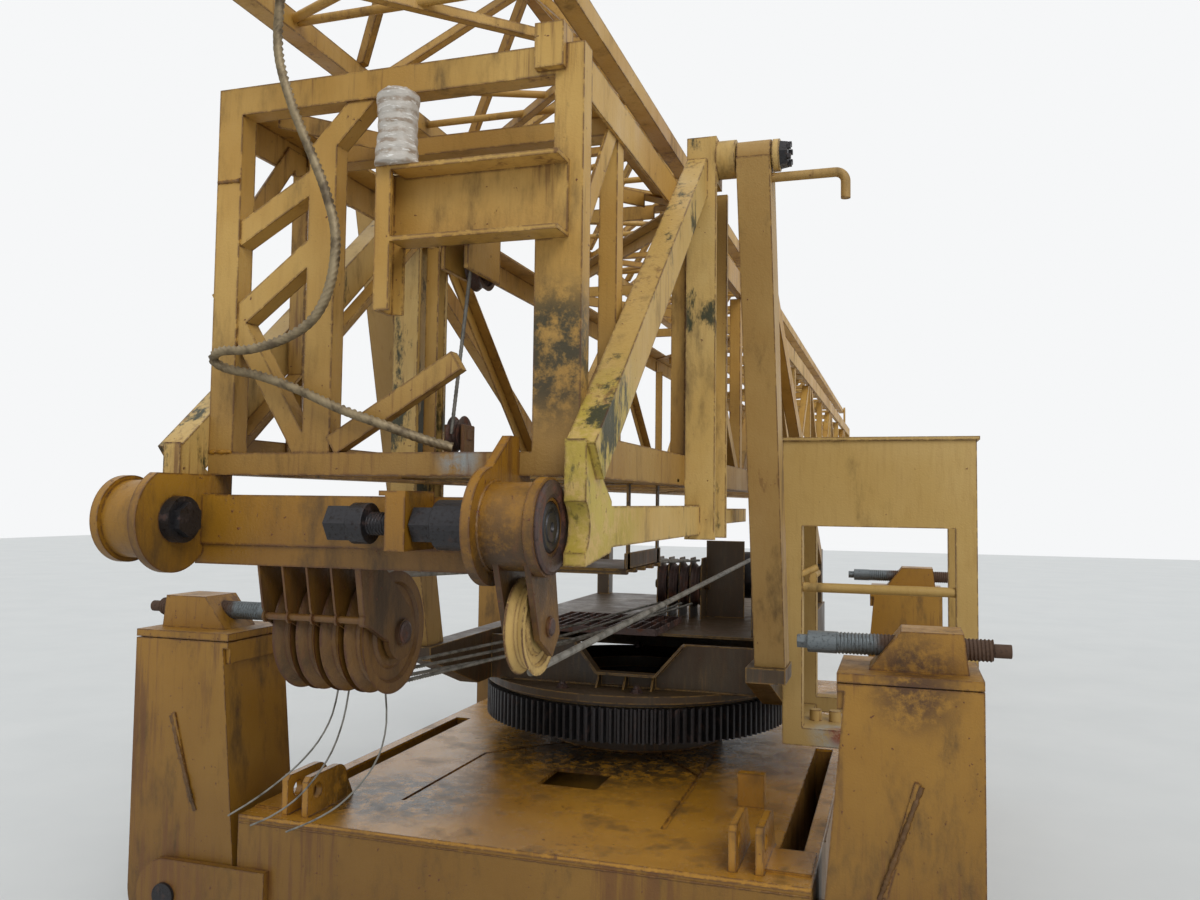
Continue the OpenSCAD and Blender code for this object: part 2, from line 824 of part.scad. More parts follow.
module tower_side_r() { tower_side(); }
module tower_side_l() { mirror([1, 0, 0]) tower_side(); }

// Lacing across the tower, under or over the flat legs of the corner angles
module cross_lacing() {
    w = tower_w - 2 * chord_t - 2 * lace_t - 10;
    translate([-w / 2, 0, 0]) mirror([1, 0, 0]) rotate([0, 0, 90]) lacing_angles_flat(w);
}

module lacing_angles_flat(w) {
    linear_extrude(lace_t) intersection() {
        lacing(w, lace_w, 0);
        rect([lace_y0, 0], [lace_y1, w]);
    }
    linear_extrude(lace_d) intersection() {
        lacing(w, lace_t, lace_w / 2 - lace_t / 2);
        rect([lace_y0, chord_w], [lace_y1, w - chord_w]);
    }
}

module tower_bottom() {
    color(ochre) translate([0, 0, tower_z + chord_t]) cross_lacing();
}

module tower_top() {
    color(ochre) {
        translate([0, 0, tower_top_z - chord_t]) mirror([0, 0, 1]) cross_lacing();
        block(
            [-half_tower + chord_t + lace_t + 5, foot_bay_y + 20, tower_top_z - chord_t - 46],
            [half_tower - chord_t - lace_t - 5, foot_bay_y + 80, tower_top_z - chord_t]
        );
    }
}

// Post, strut and beam welded to the tower's side, with the pivot stub at the top
module foot_frame(cut_r) {
    x = half_tower;
    z0 = 1490;
    z1 = pivot_z + 60;
    color(pale_ochre) difference() {
        union() {
            block([x, pivot_y - 50, z0], [x + foot_t, pivot_y - 32, z1]);
            block([x + 30, pivot_y - 33, z0], [x + 50, pivot_y + 160, pivot_z - 60]);
            block([x, pivot_y + 142, z0], [x + foot_t, pivot_y + 160, pivot_z - 60]);
            block([x, pivot_y - 50, pivot_z - 80], [x + foot_t, pivot_y + 50, z1]);
            plate_yz(x, foot_t) rect([pivot_y + 142, 1535], [-800, 1580]);
            plate_yz(x, 45) rect([tower_y0 + 60, 1505], [pivot_y - 32, 1590]);
            plate_yz(x, 62) bar_2d([boss_y + 60, boss_z + 127], [pivot_y - 20, pivot_z - 40], 90);
            plate_yz(x, 45) polygon([
                [tower_y0 - 90, 1475], [tower_y0 + 80, 1495], [tower_y0 + 80, 1600],
                [tower_y0 - 30, 1680], [tower_y0 - 90, 1720]
            ]);
            rod_x(pivot_d / 2, x + foot_t - 1, post_in + post_w + 10, pivot_y, pivot_z);
            rod_x(57, x + foot_t - 1, post_in - move_gap, pivot_y, pivot_z);
            rod_x(pivot_cap_r, post_in + post_w + move_gap, post_in + post_w + 25, pivot_y, pivot_z);
        }
        rod_x(cut_r, x - 1, x + foot_t + 1, boss_y, boss_z);
    }
}

module foot_frame_r() { foot_frame(lock_pin_d / 2 + move_gap + 3); }
module foot_frame_l() { mirror([1, 0, 0]) foot_frame(boss_r + seat_gap); }

// Outline of the web that carries a boss, up to the tower's foot
module boss_web() {
    translate([boss_y, boss_z]) circle(115);
    polygon([
        [boss_y - 104, boss_z + 48], [tower_y0 - 45, tower_z + 80], [tower_y0, tower_z + 80],
        [tower_y0, tower_z], [tower_y0 + 60, tower_z], [tower_y0 + 60, boss_z - 60], [boss_y, boss_z - 60]
    ]);
}

// Cross beam under the tower's foot, with the two bosses for the locking pins
module foot_beam() {
    fold_z = beam_z0 + 45;
    lug_x = 104;
    lug_w = 44;
    color(ochre) difference() {
        union() {
            block([beam_left, beam_y0, fold_z], [boss_in, beam_y0 + 12, beam_z1]);
            block([beam_left, beam_y0, beam_z1 - 12], [boss_in, beam_y1, beam_z1]);
            block([beam_left, beam_y0 + 8, beam_z0], [boss_in, beam_y0 + 20, fold_z + 1]);
            block([beam_left, beam_y0 + 8, beam_z0], [boss_in, beam_y1, beam_z0 + 12]);
            rod_x(boss_r, boss_in, boss_out, boss_y, boss_z);
            rod_x(boss_flange_r, boss_out - boss_flange_t, boss_out, boss_y, boss_z);
            plate_yz(boss_in, 20) boss_web();
            rod_x(boss_r, -left_boss_out, -left_boss_in, boss_y, boss_z);
            rod_x(boss_flange_r, -left_boss_out, -left_boss_out + boss_flange_t, boss_y, boss_z);
            plate_yz(beam_left, 20) intersection() {
                boss_web();
                rect([-3000, 0], [0, tower_z]);
            }
            block([lug_x, boss_y - 42, boss_z - 52], [lug_x + lug_w, beam_y0 + 1, boss_z + 62]);
            block([lug_x - 14, boss_y - 42, boss_z + 56], [lug_x + lug_w, beam_y0 + 1, boss_z + 66]);
            for (x = [single_x - 38, single_x + 26]) {
                plate_yz(x, 12) polygon([
                    [boss_y - 60, boss_z - 40], [boss_y + 80, boss_z - 40], [single_y + 60, single_z - 20],
                    [single_y + 20, single_z - 60], [single_y - 50, single_z - 20]
                ]);
            }
            rod_x(20, single_x - 42, single_x + 42, single_y, single_z);
        }
        rod_x(lock_pin_d / 2 + run_gap, boss_in - 30, boss_out + 10, boss_y, boss_z);
        rod_x(lock_pin_d / 2 + run_gap, -left_boss_out - 1, beam_left + 30, boss_y, boss_z);
        rod_x(screw_r + 1, lug_x - 1, lug_x + lug_w + 1, boss_y, boss_z);
    }
}

// Locking pin with its screw and nuts
module lock_pin_r() {
    color(dark_steel) {
        rod_x(lock_pin_d / 2, 203, boss_out - 5, boss_y, boss_z);
        rod_x(screw_r, -35, 204, boss_y, boss_z);
        rod_x(39, 153, 203, boss_y, boss_z, 6);
        rod_x(42, 13, 50, boss_y, boss_z);
        rod_x(40, -39, 13, boss_y, boss_z, 6);
    }
}

// The left pin is plain, with a hexagon at its inner end
module lock_pin_l() {
    color(dark_steel) {
        rod_x(lock_pin_d / 2, -left_boss_out + 3, beam_left + 45, boss_y, boss_z);
        rod_x(38, beam_left + 45, beam_left + 60, boss_y, boss_z, 6);
    }
}

module channel_bracket() {
    y0 = tower_y0 - 70;
    z0 = 2140;
    z1 = 2302;
    color(ochre) {
        block([45, tower_y0 - 8, z0], [half_tower - 30, tower_y0, z1]);
        block([45, y0, z0], [half_tower - 30, tower_y0, z0 + 10]);
        block([45, y0, z1 - 10], [half_tower - 30, tower_y0, z1]);
        block([10, y0, 1995], [20, tower_y0, z1]);
        block([10, y0, 1995], [46, y0 + 10, z1]);
        block([10, tower_y0 - 8, 1995], [46, tower_y0, z1]);
        for (x = [guide_x - 32, guide_x + 22]) {
            block([x, tower_y0 - 4, guide_z - 35], [x + 10, guide_y + 35, z1 - 20]);
        }
        rod_x(10, guide_x - 32, guide_x + 32, guide_y, guide_z);
    }
}

module wrapped_pad() {
    color([0.8, 0.8, 0.78]) translate([50, tower_y0 - 52, 2302 + seat_gap]) cylinder(d = 100, h = 165);
}

// Plates and pin of the tower's block, hung from the cross beam
module block_cheeks() {
    pin_x0 = block_x - sheave_n / 2 * block_pitch - fin_t / 2;
    pin_x1 = block_x + sheave_n / 2 * block_pitch - fin_t / 2 + cheek_t;
    guard_y = block_y - block_sheave_d / 2 - 12;
    color(ochre) difference() {
        union() {
            for (i = [0:sheave_n]) {
                x = block_x + (i - sheave_n / 2) * block_pitch - fin_t / 2;
                plate_yz(x, i == sheave_n ? cheek_t : fin_t) union() {
                    polygon([
                        [beam_y0 + 9, beam_z0], [beam_y1, beam_z0], [block_y + 50, block_z + 40],
                        [block_y + 58, block_z - 15], [block_y - 58, block_z - 15],
                        [guard_y + 4, block_z + 30], [guard_y - 14, block_z + 60]
                    ]);
                    translate([block_y, block_z]) circle(62);
                    translate([guard_y, block_z + 42]) circle(14);
                }
            }
            rod_x(block_pin_d / 2, pin_x0 - 6, pin_x1 + 8, block_y, block_z);
            rod_x(8, pin_x0, pin_x1, guard_y, block_z + 42);
        }
    }
}

module block_sheaves() {
    color(ochre) for (i = [0:sheave_n - 1]) {
        sheave(
            block_sheave_d / 2, block_pin_d / 2 + run_gap, block_sheave_w,
            block_x + (i - (sheave_n - 1) / 2) * block_pitch, block_y, block_z
        );
    }
}

module single_sheave() {
    color(ochre) sheave(single_sheave_d / 2, 20 + run_gap, sheave_w, single_x, single_y, single_z);
}

module guide_sheave() {
    color(rust) sheave(guide_sheave_d / 2, 10 + run_gap, 30, guide_x, guide_y, guide_z);
}

// Catmull-Rom point between b and c
function spline_point(a, b, c, d, t) =
    0.5 * (2 * b + (c - a) * t + (2 * a - 5 * b + 4 * c - d) * t * t + (3 * b - a - 3 * c + d) * t * t * t);

function smooth(route, steps) = [
    for (i = [0:len(route) - 2], k = [0:steps - 1])
        spline_point(
            route[max(i - 1, 0)], route[i], route[i + 1], route[min(i + 2, len(route) - 1)], k / steps
        ),
    route[len(route) - 1]
];

// A tube swept along points that never run parallel to Y
module tube(points, r, sides) {
    last = len(points) - 1;
    rings = [
        for (i = [0:last])
            let (
                t = points[min(i + 1, last)] - points[max(i - 1, 0)],
                u = cross(t, [0, 1, 0]) / norm(cross(t, [0, 1, 0])),
                v = cross(u, t) / norm(t)
            )
            for (k = [0:sides - 1]) points[i] + r * (cos(360 * k / sides) * u + sin(360 * k / sides) * v)
    ];
    polyhedron(rings, concat(
        [[for (k = [sides - 1:-1:0]) k]],
        [for (i = [0:last - 1], k = [0:sides - 1])
            let (a = i * sides + k, b = i * sides + (k + 1) % sides)
            [a, b, b + sides, a + sides]],
        [[for (k = [0:sides - 1]) last * sides + k]]
    ));
}

module lift_rope() {
    color(rope_grey) tube(smooth(lift_route, 4), lift_rope_d / 2, 10);
}

module tackle_ropes() {
    color(rope_grey) for (i = [0:sheave_n - 1]) {
        k = i - (sheave_n - 1) / 2;
        rope_z = block_z + groove_r(block_sheave_d) + thin_rope_d / 2 + 2 * seat_gap;
        a = [block_x + k * block_pitch, block_y, rope_z];
        b = [fixed_x + k * fixed_pitch, fixed_y, fixed_z + fixed_sheave_d / 2 + thin_rope_d / 2 + move_gap];
        rope_between(a, b, thin_rope_d / 2);
    }
}

module hoist_rope() {
    a = [single_x, single_y, single_z - groove_r(single_sheave_d) - thick_rope_d / 2 - 2 * seat_gap];
    b = [480, drum_y - 20, drum_z + drum_d / 2 + thick_rope_d / 2 + 2 * move_gap];
    color(rope_grey) rope_between(a, b, thick_rope_d / 2);
}

// A straight rope from a to b
module rope_between(a, b, r) {
    d = b - a;
    len = norm(d);
    translate(a) rotate([0, acos(d[2] / len), atan2(d[1], d[0])]) cylinder(r = r, h = len, $fn = 12);
}

module jib_bottom() {
    c = jib_chord / 2;
    bay = jib_l / jib_bays;
    color(ochre) difference() {
        union() {
            for (s = [-1, 1]) {
                block([s * half_jib - c, jib_y0, jib_z - c], [s * half_jib + c, jib_hinge_y + c, jib_z + c]);
            }
            translate([0, 0, jib_z - jib_lace / 2]) linear_extrude(jib_lace) for (i = [0:jib_bays - 1]) {
                s = i % 2 == 0 ? 1 : -1;
                bar_2d([-s * half_jib, jib_y0 + i * bay], [s * half_jib, jib_y0 + (i + 1) * bay], jib_lace);
                bar_2d([-half_jib, jib_y0 + 12 + i * bay], [half_jib, jib_y0 + 12 + i * bay], jib_lace);
            }
            rod_x(15, -half_jib - c - 26, half_jib + c + 26, jib_hinge_y, jib_z);
        }
    }
}

// Lacing from a lower chord up to the upper chord, which the right side carries
module jib_side_lacing(own_chord) {
    bay = jib_l / jib_bays;
    c = jib_chord / 2;
    slope = norm([half_jib, jib_h]);
    lean = atan2(half_jib, jib_h);
    difference() {
        translate([half_jib, 0, jib_z]) rotate([0, -lean, 0]) rotate([90, 0, 90])
            translate([0, 0, -jib_lace / 2]) linear_extrude(jib_lace) for (i = [0:jib_bays - 1]) {
            bar_2d([jib_y0 + i * bay + 30, 0], [jib_y0 + (i + 0.5) * bay, slope], jib_lace);
            bar_2d([jib_y0 + (i + 0.5) * bay, slope], [jib_y0 + (i + 1) * bay - 30, 0], jib_lace);
        }
        block(
            [-half_jib, jib_y0 - 100, jib_z - c - 100],
            [half_jib + c + 100, jib_hinge_y + 200, jib_z + c + seat_gap]
        );
        if (!own_chord) {
            block(
                [-c - 100, jib_y0 - 100, jib_z + jib_h - c - seat_gap],
                [c + seat_gap, jib_hinge_y + 200, jib_z + jib_h + c + 100]
            );
        }
        block([-100, jib_y0 - 100, jib_z - 100], [seat_gap, jib_hinge_y + 200, jib_z + jib_h + 100]);
    }
}

module jib_side_r() {
    c = jib_chord / 2;
    color(ochre) {
        jib_side_lacing(true);
        block([-c, jib_y0 + 100, jib_z + jib_h - c], [c, jib_hinge_y - 200, jib_z + jib_h + c]);
    }
}

module jib_side_l() {
    color(ochre) mirror([1, 0, 0]) jib_side_lacing(false);
}

chassis_frame();
deck_plate();
deck_lugs();
ring_collar();
slew_ring();
leg_pins();
leg_fr();
leg_fl();
leg_rr();
leg_rl();
jack_fr();
jack_fl();
jack_rr();
jack_rl();
base_flange();
translate([tower_x, 0, 0]) platform_frame();
translate([tower_x, 0, 0]) a_post_r();
translate([tower_x, 0, 0]) a_post_l();
translate([tower_x, 0, 0]) back_stay_r();
translate([tower_x, 0, 0]) back_stay_l();
translate([tower_x, 0, 0]) fixed_block();
translate([tower_x, 0, 0]) fixed_sheaves();
translate([tower_x, 0, 0]) winch_frame();
translate([tower_x, 0, 0]) winch_drum();
translate([tower_x, 0, 0]) cage_frame();
translate([tower_x, 0, 0]) cage_rail();
translate([tower_x, 0, 0]) end_frame();
translate([tower_x, 0, 0]) head_frame();
translate([tower_x, 0, 0]) tower_side_r();
translate([tower_x, 0, 0]) tower_side_l();
translate([tower_x, 0, 0]) tower_top();
translate([tower_x, 0, 0]) tower_bottom();
translate([tower_x, 0, 0]) foot_frame_r();
translate([tower_x, 0, 0]) foot_frame_l();
translate([tower_x, 0, 0]) foot_beam();
translate([tower_x, 0, 0]) lock_pin_r();
translate([tower_x, 0, 0]) lock_pin_l();
translate([tower_x, 0, 0]) channel_bracket();
translate([tower_x, 0, 0]) wrapped_pad();
translate([tower_x, 0, 0]) block_cheeks();
translate([tower_x, 0, 0]) block_sheaves();
translate([tower_x, 0, 0]) single_sheave();
translate([tower_x, 0, 0]) guide_sheave();
translate([tower_x, 0, 0]) tackle_ropes();
translate([tower_x, 0, 0]) hoist_rope();
translate([tower_x, 0, 0]) lift_rope();
translate([tower_x, 0, 0]) jib_bottom();
translate([tower_x, 0, 0]) jib_side_r();
translate([tower_x, 0, 0]) jib_side_l();
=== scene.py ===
"""Looks of a bottom-slewing tower crane that lies folded on its undercarriage.

Run as a script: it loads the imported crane, gives every piece its finish, adds the small
pieces that are too fine for the solids, and sets the stage, the light and the camera.
"""

import json
import math
import random

import bmesh
import bpy
from mathutils import Matrix, Vector
from mathutils.bvhtree import BVHTree


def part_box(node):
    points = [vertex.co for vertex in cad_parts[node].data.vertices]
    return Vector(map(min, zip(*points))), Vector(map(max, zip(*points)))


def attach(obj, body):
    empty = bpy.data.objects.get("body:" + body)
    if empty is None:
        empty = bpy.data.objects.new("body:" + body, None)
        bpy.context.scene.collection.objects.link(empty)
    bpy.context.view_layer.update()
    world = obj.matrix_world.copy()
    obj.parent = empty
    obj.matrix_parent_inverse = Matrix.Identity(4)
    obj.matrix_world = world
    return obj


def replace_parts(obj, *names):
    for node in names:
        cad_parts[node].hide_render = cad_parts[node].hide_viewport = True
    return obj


bl_info = {
    "name": "Folded tower crane",
    "version": (1, 0, 0),
    "blender": (4, 5, 0),
    "location": "View3D > Sidebar > Crane",
    "description": "Dresses the packed crane with paint, rust, ropes, bolts and light",
    "category": "Object",
}

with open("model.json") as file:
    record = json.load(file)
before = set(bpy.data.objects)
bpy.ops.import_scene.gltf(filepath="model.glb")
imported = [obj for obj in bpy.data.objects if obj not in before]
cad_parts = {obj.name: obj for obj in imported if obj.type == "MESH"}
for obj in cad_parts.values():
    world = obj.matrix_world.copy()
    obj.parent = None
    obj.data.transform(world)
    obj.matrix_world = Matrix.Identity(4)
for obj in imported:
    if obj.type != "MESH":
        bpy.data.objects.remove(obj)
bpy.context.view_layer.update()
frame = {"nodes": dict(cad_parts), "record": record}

# The photograph's frame in pixels, and the place of its camera in metres and degrees
IMAGE_W = 1200
FOCAL_PX = 960
CAMERA_AT = (1.14, -4.21, 1.6)
CAMERA_YAW = 17.5
CAMERA_PITCH = 3.06
CAMERA_ROLL = 0.7

# The tower stands this far to the right of the slewing axis
TOWER_X = 0.07

# The axis of the bosses at the tower's foot, and that of the tower's pivot, as (y, z)
BOSS_AXIS = (-2.5, 1.55)
PIVOT_AXIS = (-1.35, 2.645)

# The four corners, as node names and as body names end
CORNERS = {"fr": "front_right", "fl": "front_left", "rr": "rear_right", "rl": "rear_left"}

# Route of the loose rope at the foot, as in the solids
LIFT_ROUTE = [
    (-0.232, -2.460, 2.720), (-0.231, -2.465, 2.582), (-0.191, -2.470, 2.459), (-0.132, -2.475, 2.336),
    (-0.094, -2.475, 2.250), (-0.067, -2.475, 2.155), (-0.076, -2.475, 2.053), (-0.115, -2.472, 1.982),
    (-0.185, -2.468, 1.942), (-0.281, -2.460, 1.922), (-0.369, -2.450, 1.922), (-0.398, -2.436, 1.905),
    (-0.372, -2.422, 1.887), (-0.300, -2.412, 1.872), (-0.196, -2.410, 1.838), (-0.086, -2.408, 1.792),
    (0.019, -2.398, 1.756), (0.090, -2.370, 1.729), (0.150, -2.345, 1.711),
]

# Broken wires that curl down from the block
WIRE_ROUTES = [
    [(-0.121, -2.218, 1.1735), (-0.150, -2.20, 1.09), (-0.193, -2.19, 1.02), (-0.256, -2.18, 0.955),
     (-0.325, -2.17, 0.90), (-0.397, -2.16, 0.85), (-0.47, -2.155, 0.805)],
    [(-0.100, -2.21, 1.157), (-0.120, -2.20, 1.08), (-0.155, -2.19, 1.00), (-0.206, -2.18, 0.93),
     (-0.268, -2.17, 0.868), (-0.335, -2.165, 0.822), (-0.40, -2.16, 0.79)],
    [(-0.002, -2.218, 1.1735), (-0.006, -2.20, 1.08), (-0.030, -2.19, 1.00), (-0.080, -2.18, 0.93),
     (-0.143, -2.175, 0.87), (-0.215, -2.17, 0.825), (-0.29, -2.17, 0.79)],
]


def lo(node):
    """Lowest corner of a node of the solids."""
    return Vector(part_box(node)[0])


def hi(node):
    """Highest corner of a node of the solids."""
    return Vector(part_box(node)[1])


def linear(colour):
    """A colour written as #rrggbb, turned to linear light with an alpha of 1."""
    parts = [int(colour[i:i + 2], 16) / 255 for i in (1, 3, 5)]
    return tuple(c / 12.92 if c <= 0.04045 else ((c + 0.055) / 1.055) ** 2.4 for c in parts) + (1.0,)


def add(tree, kind, inputs=None, **settings):
    """Adds a node with its settings; each input is a value, or another node's output to link."""
    made = tree.nodes.new(kind)
    for key, value in settings.items():
        setattr(made, key, value)
    for key, value in (inputs or {}).items():
        if isinstance(value, bpy.types.NodeSocket):
            tree.links.new(value, made.inputs[key])
        else:
            made.inputs[key].default_value = value
    return made


def ramp(tree, value, low, high):
    """A smooth step of value from 0 at low to 1 at high."""
    step = add(tree, "ShaderNodeMapRange", {"Value": value, "From Min": low, "From Max": high},
               interpolation_type="SMOOTHSTEP")
    return step.outputs["Result"]


def times(tree, first, second):
    """Product of two values."""
    return add(tree, "ShaderNodeMath", {0: first, 1: second}, operation="MULTIPLY").outputs[0]


def noise(tree, place, size, stretch=(1, 1, 1), detail=5.0, rough=0.6, seed=0.0):
    """Noise whose blotches are about size metres across, stretched along the axes."""
    scale = tuple(1 / size / s for s in stretch)
    shift = (seed, seed * 1.7, seed * 0.6)
    moved = add(tree, "ShaderNodeMapping", {"Vector": place, "Scale": scale, "Location": shift})
    made = add(tree, "ShaderNodeTexNoise",
               {"Vector": moved.outputs["Vector"], "Scale": 1.0, "Detail": detail, "Roughness": rough})
    return made.outputs["Fac"]


def mixed(tree, share, first, second):
    """Two colours mixed by a share from 0 to 1."""
    made = add(tree, "ShaderNodeMix", {"Factor": share, "A": first, "B": second}, data_type="RGBA")
    sockets = [s for s in made.outputs if s.type == "RGBA"]
    return sockets[0]


def near(tree, place, centre, reach):
    """1 at a point, falling to 0 at a distance of reach metres."""
    gap = add(tree, "ShaderNodeVectorMath", {0: place, 1: centre}, operation="DISTANCE").outputs["Value"]
    return ramp(tree, gap, reach, reach * 0.35)


def new_material(name):
    """An empty material with its output, and the Object coordinates."""
    material = bpy.data.materials.new(name)
    material.use_nodes = True
    tree = material.node_tree
    tree.nodes.clear()
    place = add(tree, "ShaderNodeTexCoord").outputs["Object"]
    return material, tree, place


def close_material(tree, colour, rough, height, depth, metallic=0.0):
    """The shader at the end of a material, with a bump of depth metres."""
    bump = add(tree, "ShaderNodeBump", {"Height": height, "Distance": depth, "Strength": 0.8})
    shader = add(tree, "ShaderNodeBsdfPrincipled",
                 {"Base Color": colour, "Roughness": rough, "Metallic": metallic, "Normal": bump.outputs[0]})
    add(tree, "ShaderNodeOutputMaterial", {"Surface": shader.outputs["BSDF"]})


def worn_edges(tree, place, seed):
    """1 along the edges where the paint has chipped to rusty steel."""
    edge = add(tree, "ShaderNodeBevel", {"Radius": 0.009}, samples=4)
    flat = add(tree, "ShaderNodeNewGeometry")
    turn = add(tree, "ShaderNodeVectorMath", {0: edge.outputs["Normal"], 1: flat.outputs["Normal"]},
               operation="DOT_PRODUCT").outputs["Value"]
    bent = add(tree, "ShaderNodeMath", {0: 1.0, 1: turn}, operation="SUBTRACT").outputs[0]
    chips = noise(tree, place, 0.03, detail=6.0, rough=0.7, seed=seed)
    return times(tree, ramp(tree, bent, 0.01, 0.10), ramp(tree, chips, 0.38, 0.52))


def weathered_paint(name, paint, faded, rust, dirt, algae, wet, seed,
                    soot=(1.5, 2.2, 0.0), edge="#4d2c16", spots=()):
    """Brushed alkyd paint on rolled steel: faded, streaked with rust and algae, chipped at the edges.

    soot is the height below which road grime is full, the height where it ends, and its share.
    spots lists stains, and patches of painted shade, as (colour, centre, reach), each about a point of the
    piece.
    """
    material, tree, place = new_material(name)
    fade = noise(tree, place, 0.55, detail=4.0, seed=seed)
    base = mixed(tree, ramp(tree, fade, 0.35, 0.7), linear(paint), linear(faded))
    brushed = noise(tree, place, 0.012, (1, 1, 9), 4.0, 0.6, seed + 2)
    base = mixed(tree, times(tree, ramp(tree, brushed, 0.45, 0.8), 0.25), base, linear("#8c6526"))
    for colour, centre, reach in spots:
        ragged = noise(tree, place, 0.05, detail=8.0, rough=0.75, seed=seed + 61)
        share = times(tree, near(tree, place, centre, reach), ramp(tree, ragged, 0.36, 0.56))
        base = mixed(tree, share, base, linear(colour))
    tall = add(tree, "ShaderNodeSeparateXYZ", {"Vector": place}).outputs["Z"]
    base = mixed(tree, times(tree, ramp(tree, tall, soot[1], soot[0]), soot[2]), base, linear("#523612"))
    grime = noise(tree, place, 0.12, (1, 1, 3.2), 8.0, 0.68, seed + 3)
    base = mixed(tree, ramp(tree, grime, 0.56 - dirt, 0.84 - dirt), base, linear("#3d2b14"))
    streak = noise(tree, place, 0.02, (1, 1, 18), 6.0, 0.62, seed + 7)
    patch = noise(tree, place, 0.4, (1, 1, 1.4), 3.0, 0.5, seed + 11)
    runs = times(tree, ramp(tree, times(tree, streak, patch), 0.33 - rust, 0.45 - rust), 0.75)
    base = mixed(tree, runs, base, linear("#66401a"))
    cloud = noise(tree, place, 0.24, (1, 1, 2.6), 12.0, 0.74, seed + 19)
    base = mixed(tree, ramp(tree, cloud, 0.66 - algae, 0.72 - algae), base, linear("#35351b"))
    base = mixed(tree, worn_edges(tree, place, seed + 23), base, linear(edge))
    pits = noise(tree, place, 0.016, detail=4.0, seed=seed + 31)
    pit_mask = ramp(tree, pits, 0.69 - rust * 0.5, 0.74 - rust * 0.5)
    base = mixed(tree, pit_mask, base, linear("#5e3016"))
    coat = noise(tree, place, 0.006, detail=3.0, seed=seed + 41)
    height = add(tree, "ShaderNodeMath", {0: coat, 1: pit_mask}, operation="ADD").outputs[0]
    rough = add(tree, "ShaderNodeMapRange", {"Value": grime, "From Min": 0.3, "From Max": 0.7,
                                             "To Min": wet, "To Max": wet + 0.3}).outputs["Result"]
    close_material(tree, base, rough, height, 0.0012)
    return material


def rusty_metal(name, clean, rusty, share, metal, seed, rusts_from=None):
    """Cast or forged steel, greased in places and rusted in others.

    rusts_from is a distance from the crane's middle plane, past which all of it is rusty.
    """
    material, tree, place = new_material(name)
    cloud = noise(tree, place, 0.05, detail=8.0, rough=0.7, seed=seed)
    mask = ramp(tree, cloud, 0.62 - share, 0.78 - share)
    if rusts_from is not None:
        across = add(tree, "ShaderNodeSeparateXYZ", {"Vector": place}).outputs["X"]
        out = add(tree, "ShaderNodeMath", {0: across}, operation="ABSOLUTE").outputs[0]
        uneven = add(tree, "ShaderNodeMath", {0: cloud, 1: 0.1, 2: out}, operation="MULTIPLY_ADD").outputs[0]
        outer = ramp(tree, uneven, rusts_from, rusts_from + 0.04)
        mask = add(tree, "ShaderNodeMath", {0: mask, 1: outer}, operation="MAXIMUM").outputs[0]
    base = mixed(tree, mask, linear(clean), linear(rusty))
    fine = noise(tree, place, 0.008, detail=5.0, rough=0.7, seed=seed + 5)
    base = mixed(tree, ramp(tree, fine, 0.5, 0.75), base, linear("#20160f"))
    shine = add(tree, "ShaderNodeMapRange", {"Value": mask, "To Min": metal, "To Max": 0.0}).outputs["Result"]
    rough = add(tree, "ShaderNodeMapRange", {"Value": mask, "To Min": 0.38, "To Max": 0.85}).outputs["Result"]
    close_material(tree, base, rough, fine, 0.0012, metallic=shine)
    return material


def wire_rope(name, clean, greasy):
    """Galvanised wire, dulled and greasy; the wires are drawn 2.5 mm across so that they show."""
    material, tree, place = new_material(name)
    cloud = noise(tree, place, 0.04, detail=6.0, seed=2.0)
    base = mixed(tree, ramp(tree, cloud, 0.4, 0.7), linear(clean), linear(greasy))
    fine = noise(tree, place, 0.0025, detail=2.0, seed=4.0)
    close_material(tree, base, 0.55, fine, 0.0006, metallic=0.35)
    return material


def plastic_wrap(name):
    """Cloudy polythene film in several layers, creased and damp over the brown turns of a rope."""
    material, tree, place = new_material(name)
    wavy = noise(tree, place, 0.05, detail=3.0, rough=0.6, seed=6.0)
    tall = add(tree, "ShaderNodeSeparateXYZ", {"Vector": place}).outputs["Z"]
    # The turns under the film lie 22 mm apart
    turns = add(tree, "ShaderNodeMath", {0: tall, 1: 2 * math.pi / 0.022, 2: times(tree, wavy, 7.0)},
                operation="MULTIPLY_ADD").outputs[0]
    band = add(tree, "ShaderNodeMath", {0: turns}, operation="SINE").outputs[0]
    cloud = noise(tree, place, 0.04, detail=4.0, rough=0.6, seed=9.0)
    brown = times(tree, ramp(tree, band, -0.3, 0.9), ramp(tree, cloud, 0.36, 0.6))
    base = mixed(tree, times(tree, brown, 0.7), linear("#b9b2a8"), linear("#7d6346"))
    fine = noise(tree, place, 0.012, (3, 3, 0.6), 4.0, 0.7, 8.0)
    base = mixed(tree, ramp(tree, fine, 0.56, 0.66), base, linear("#dedbd5"))
    close_material(tree, base, 0.32, fine, 0.004)
    return material


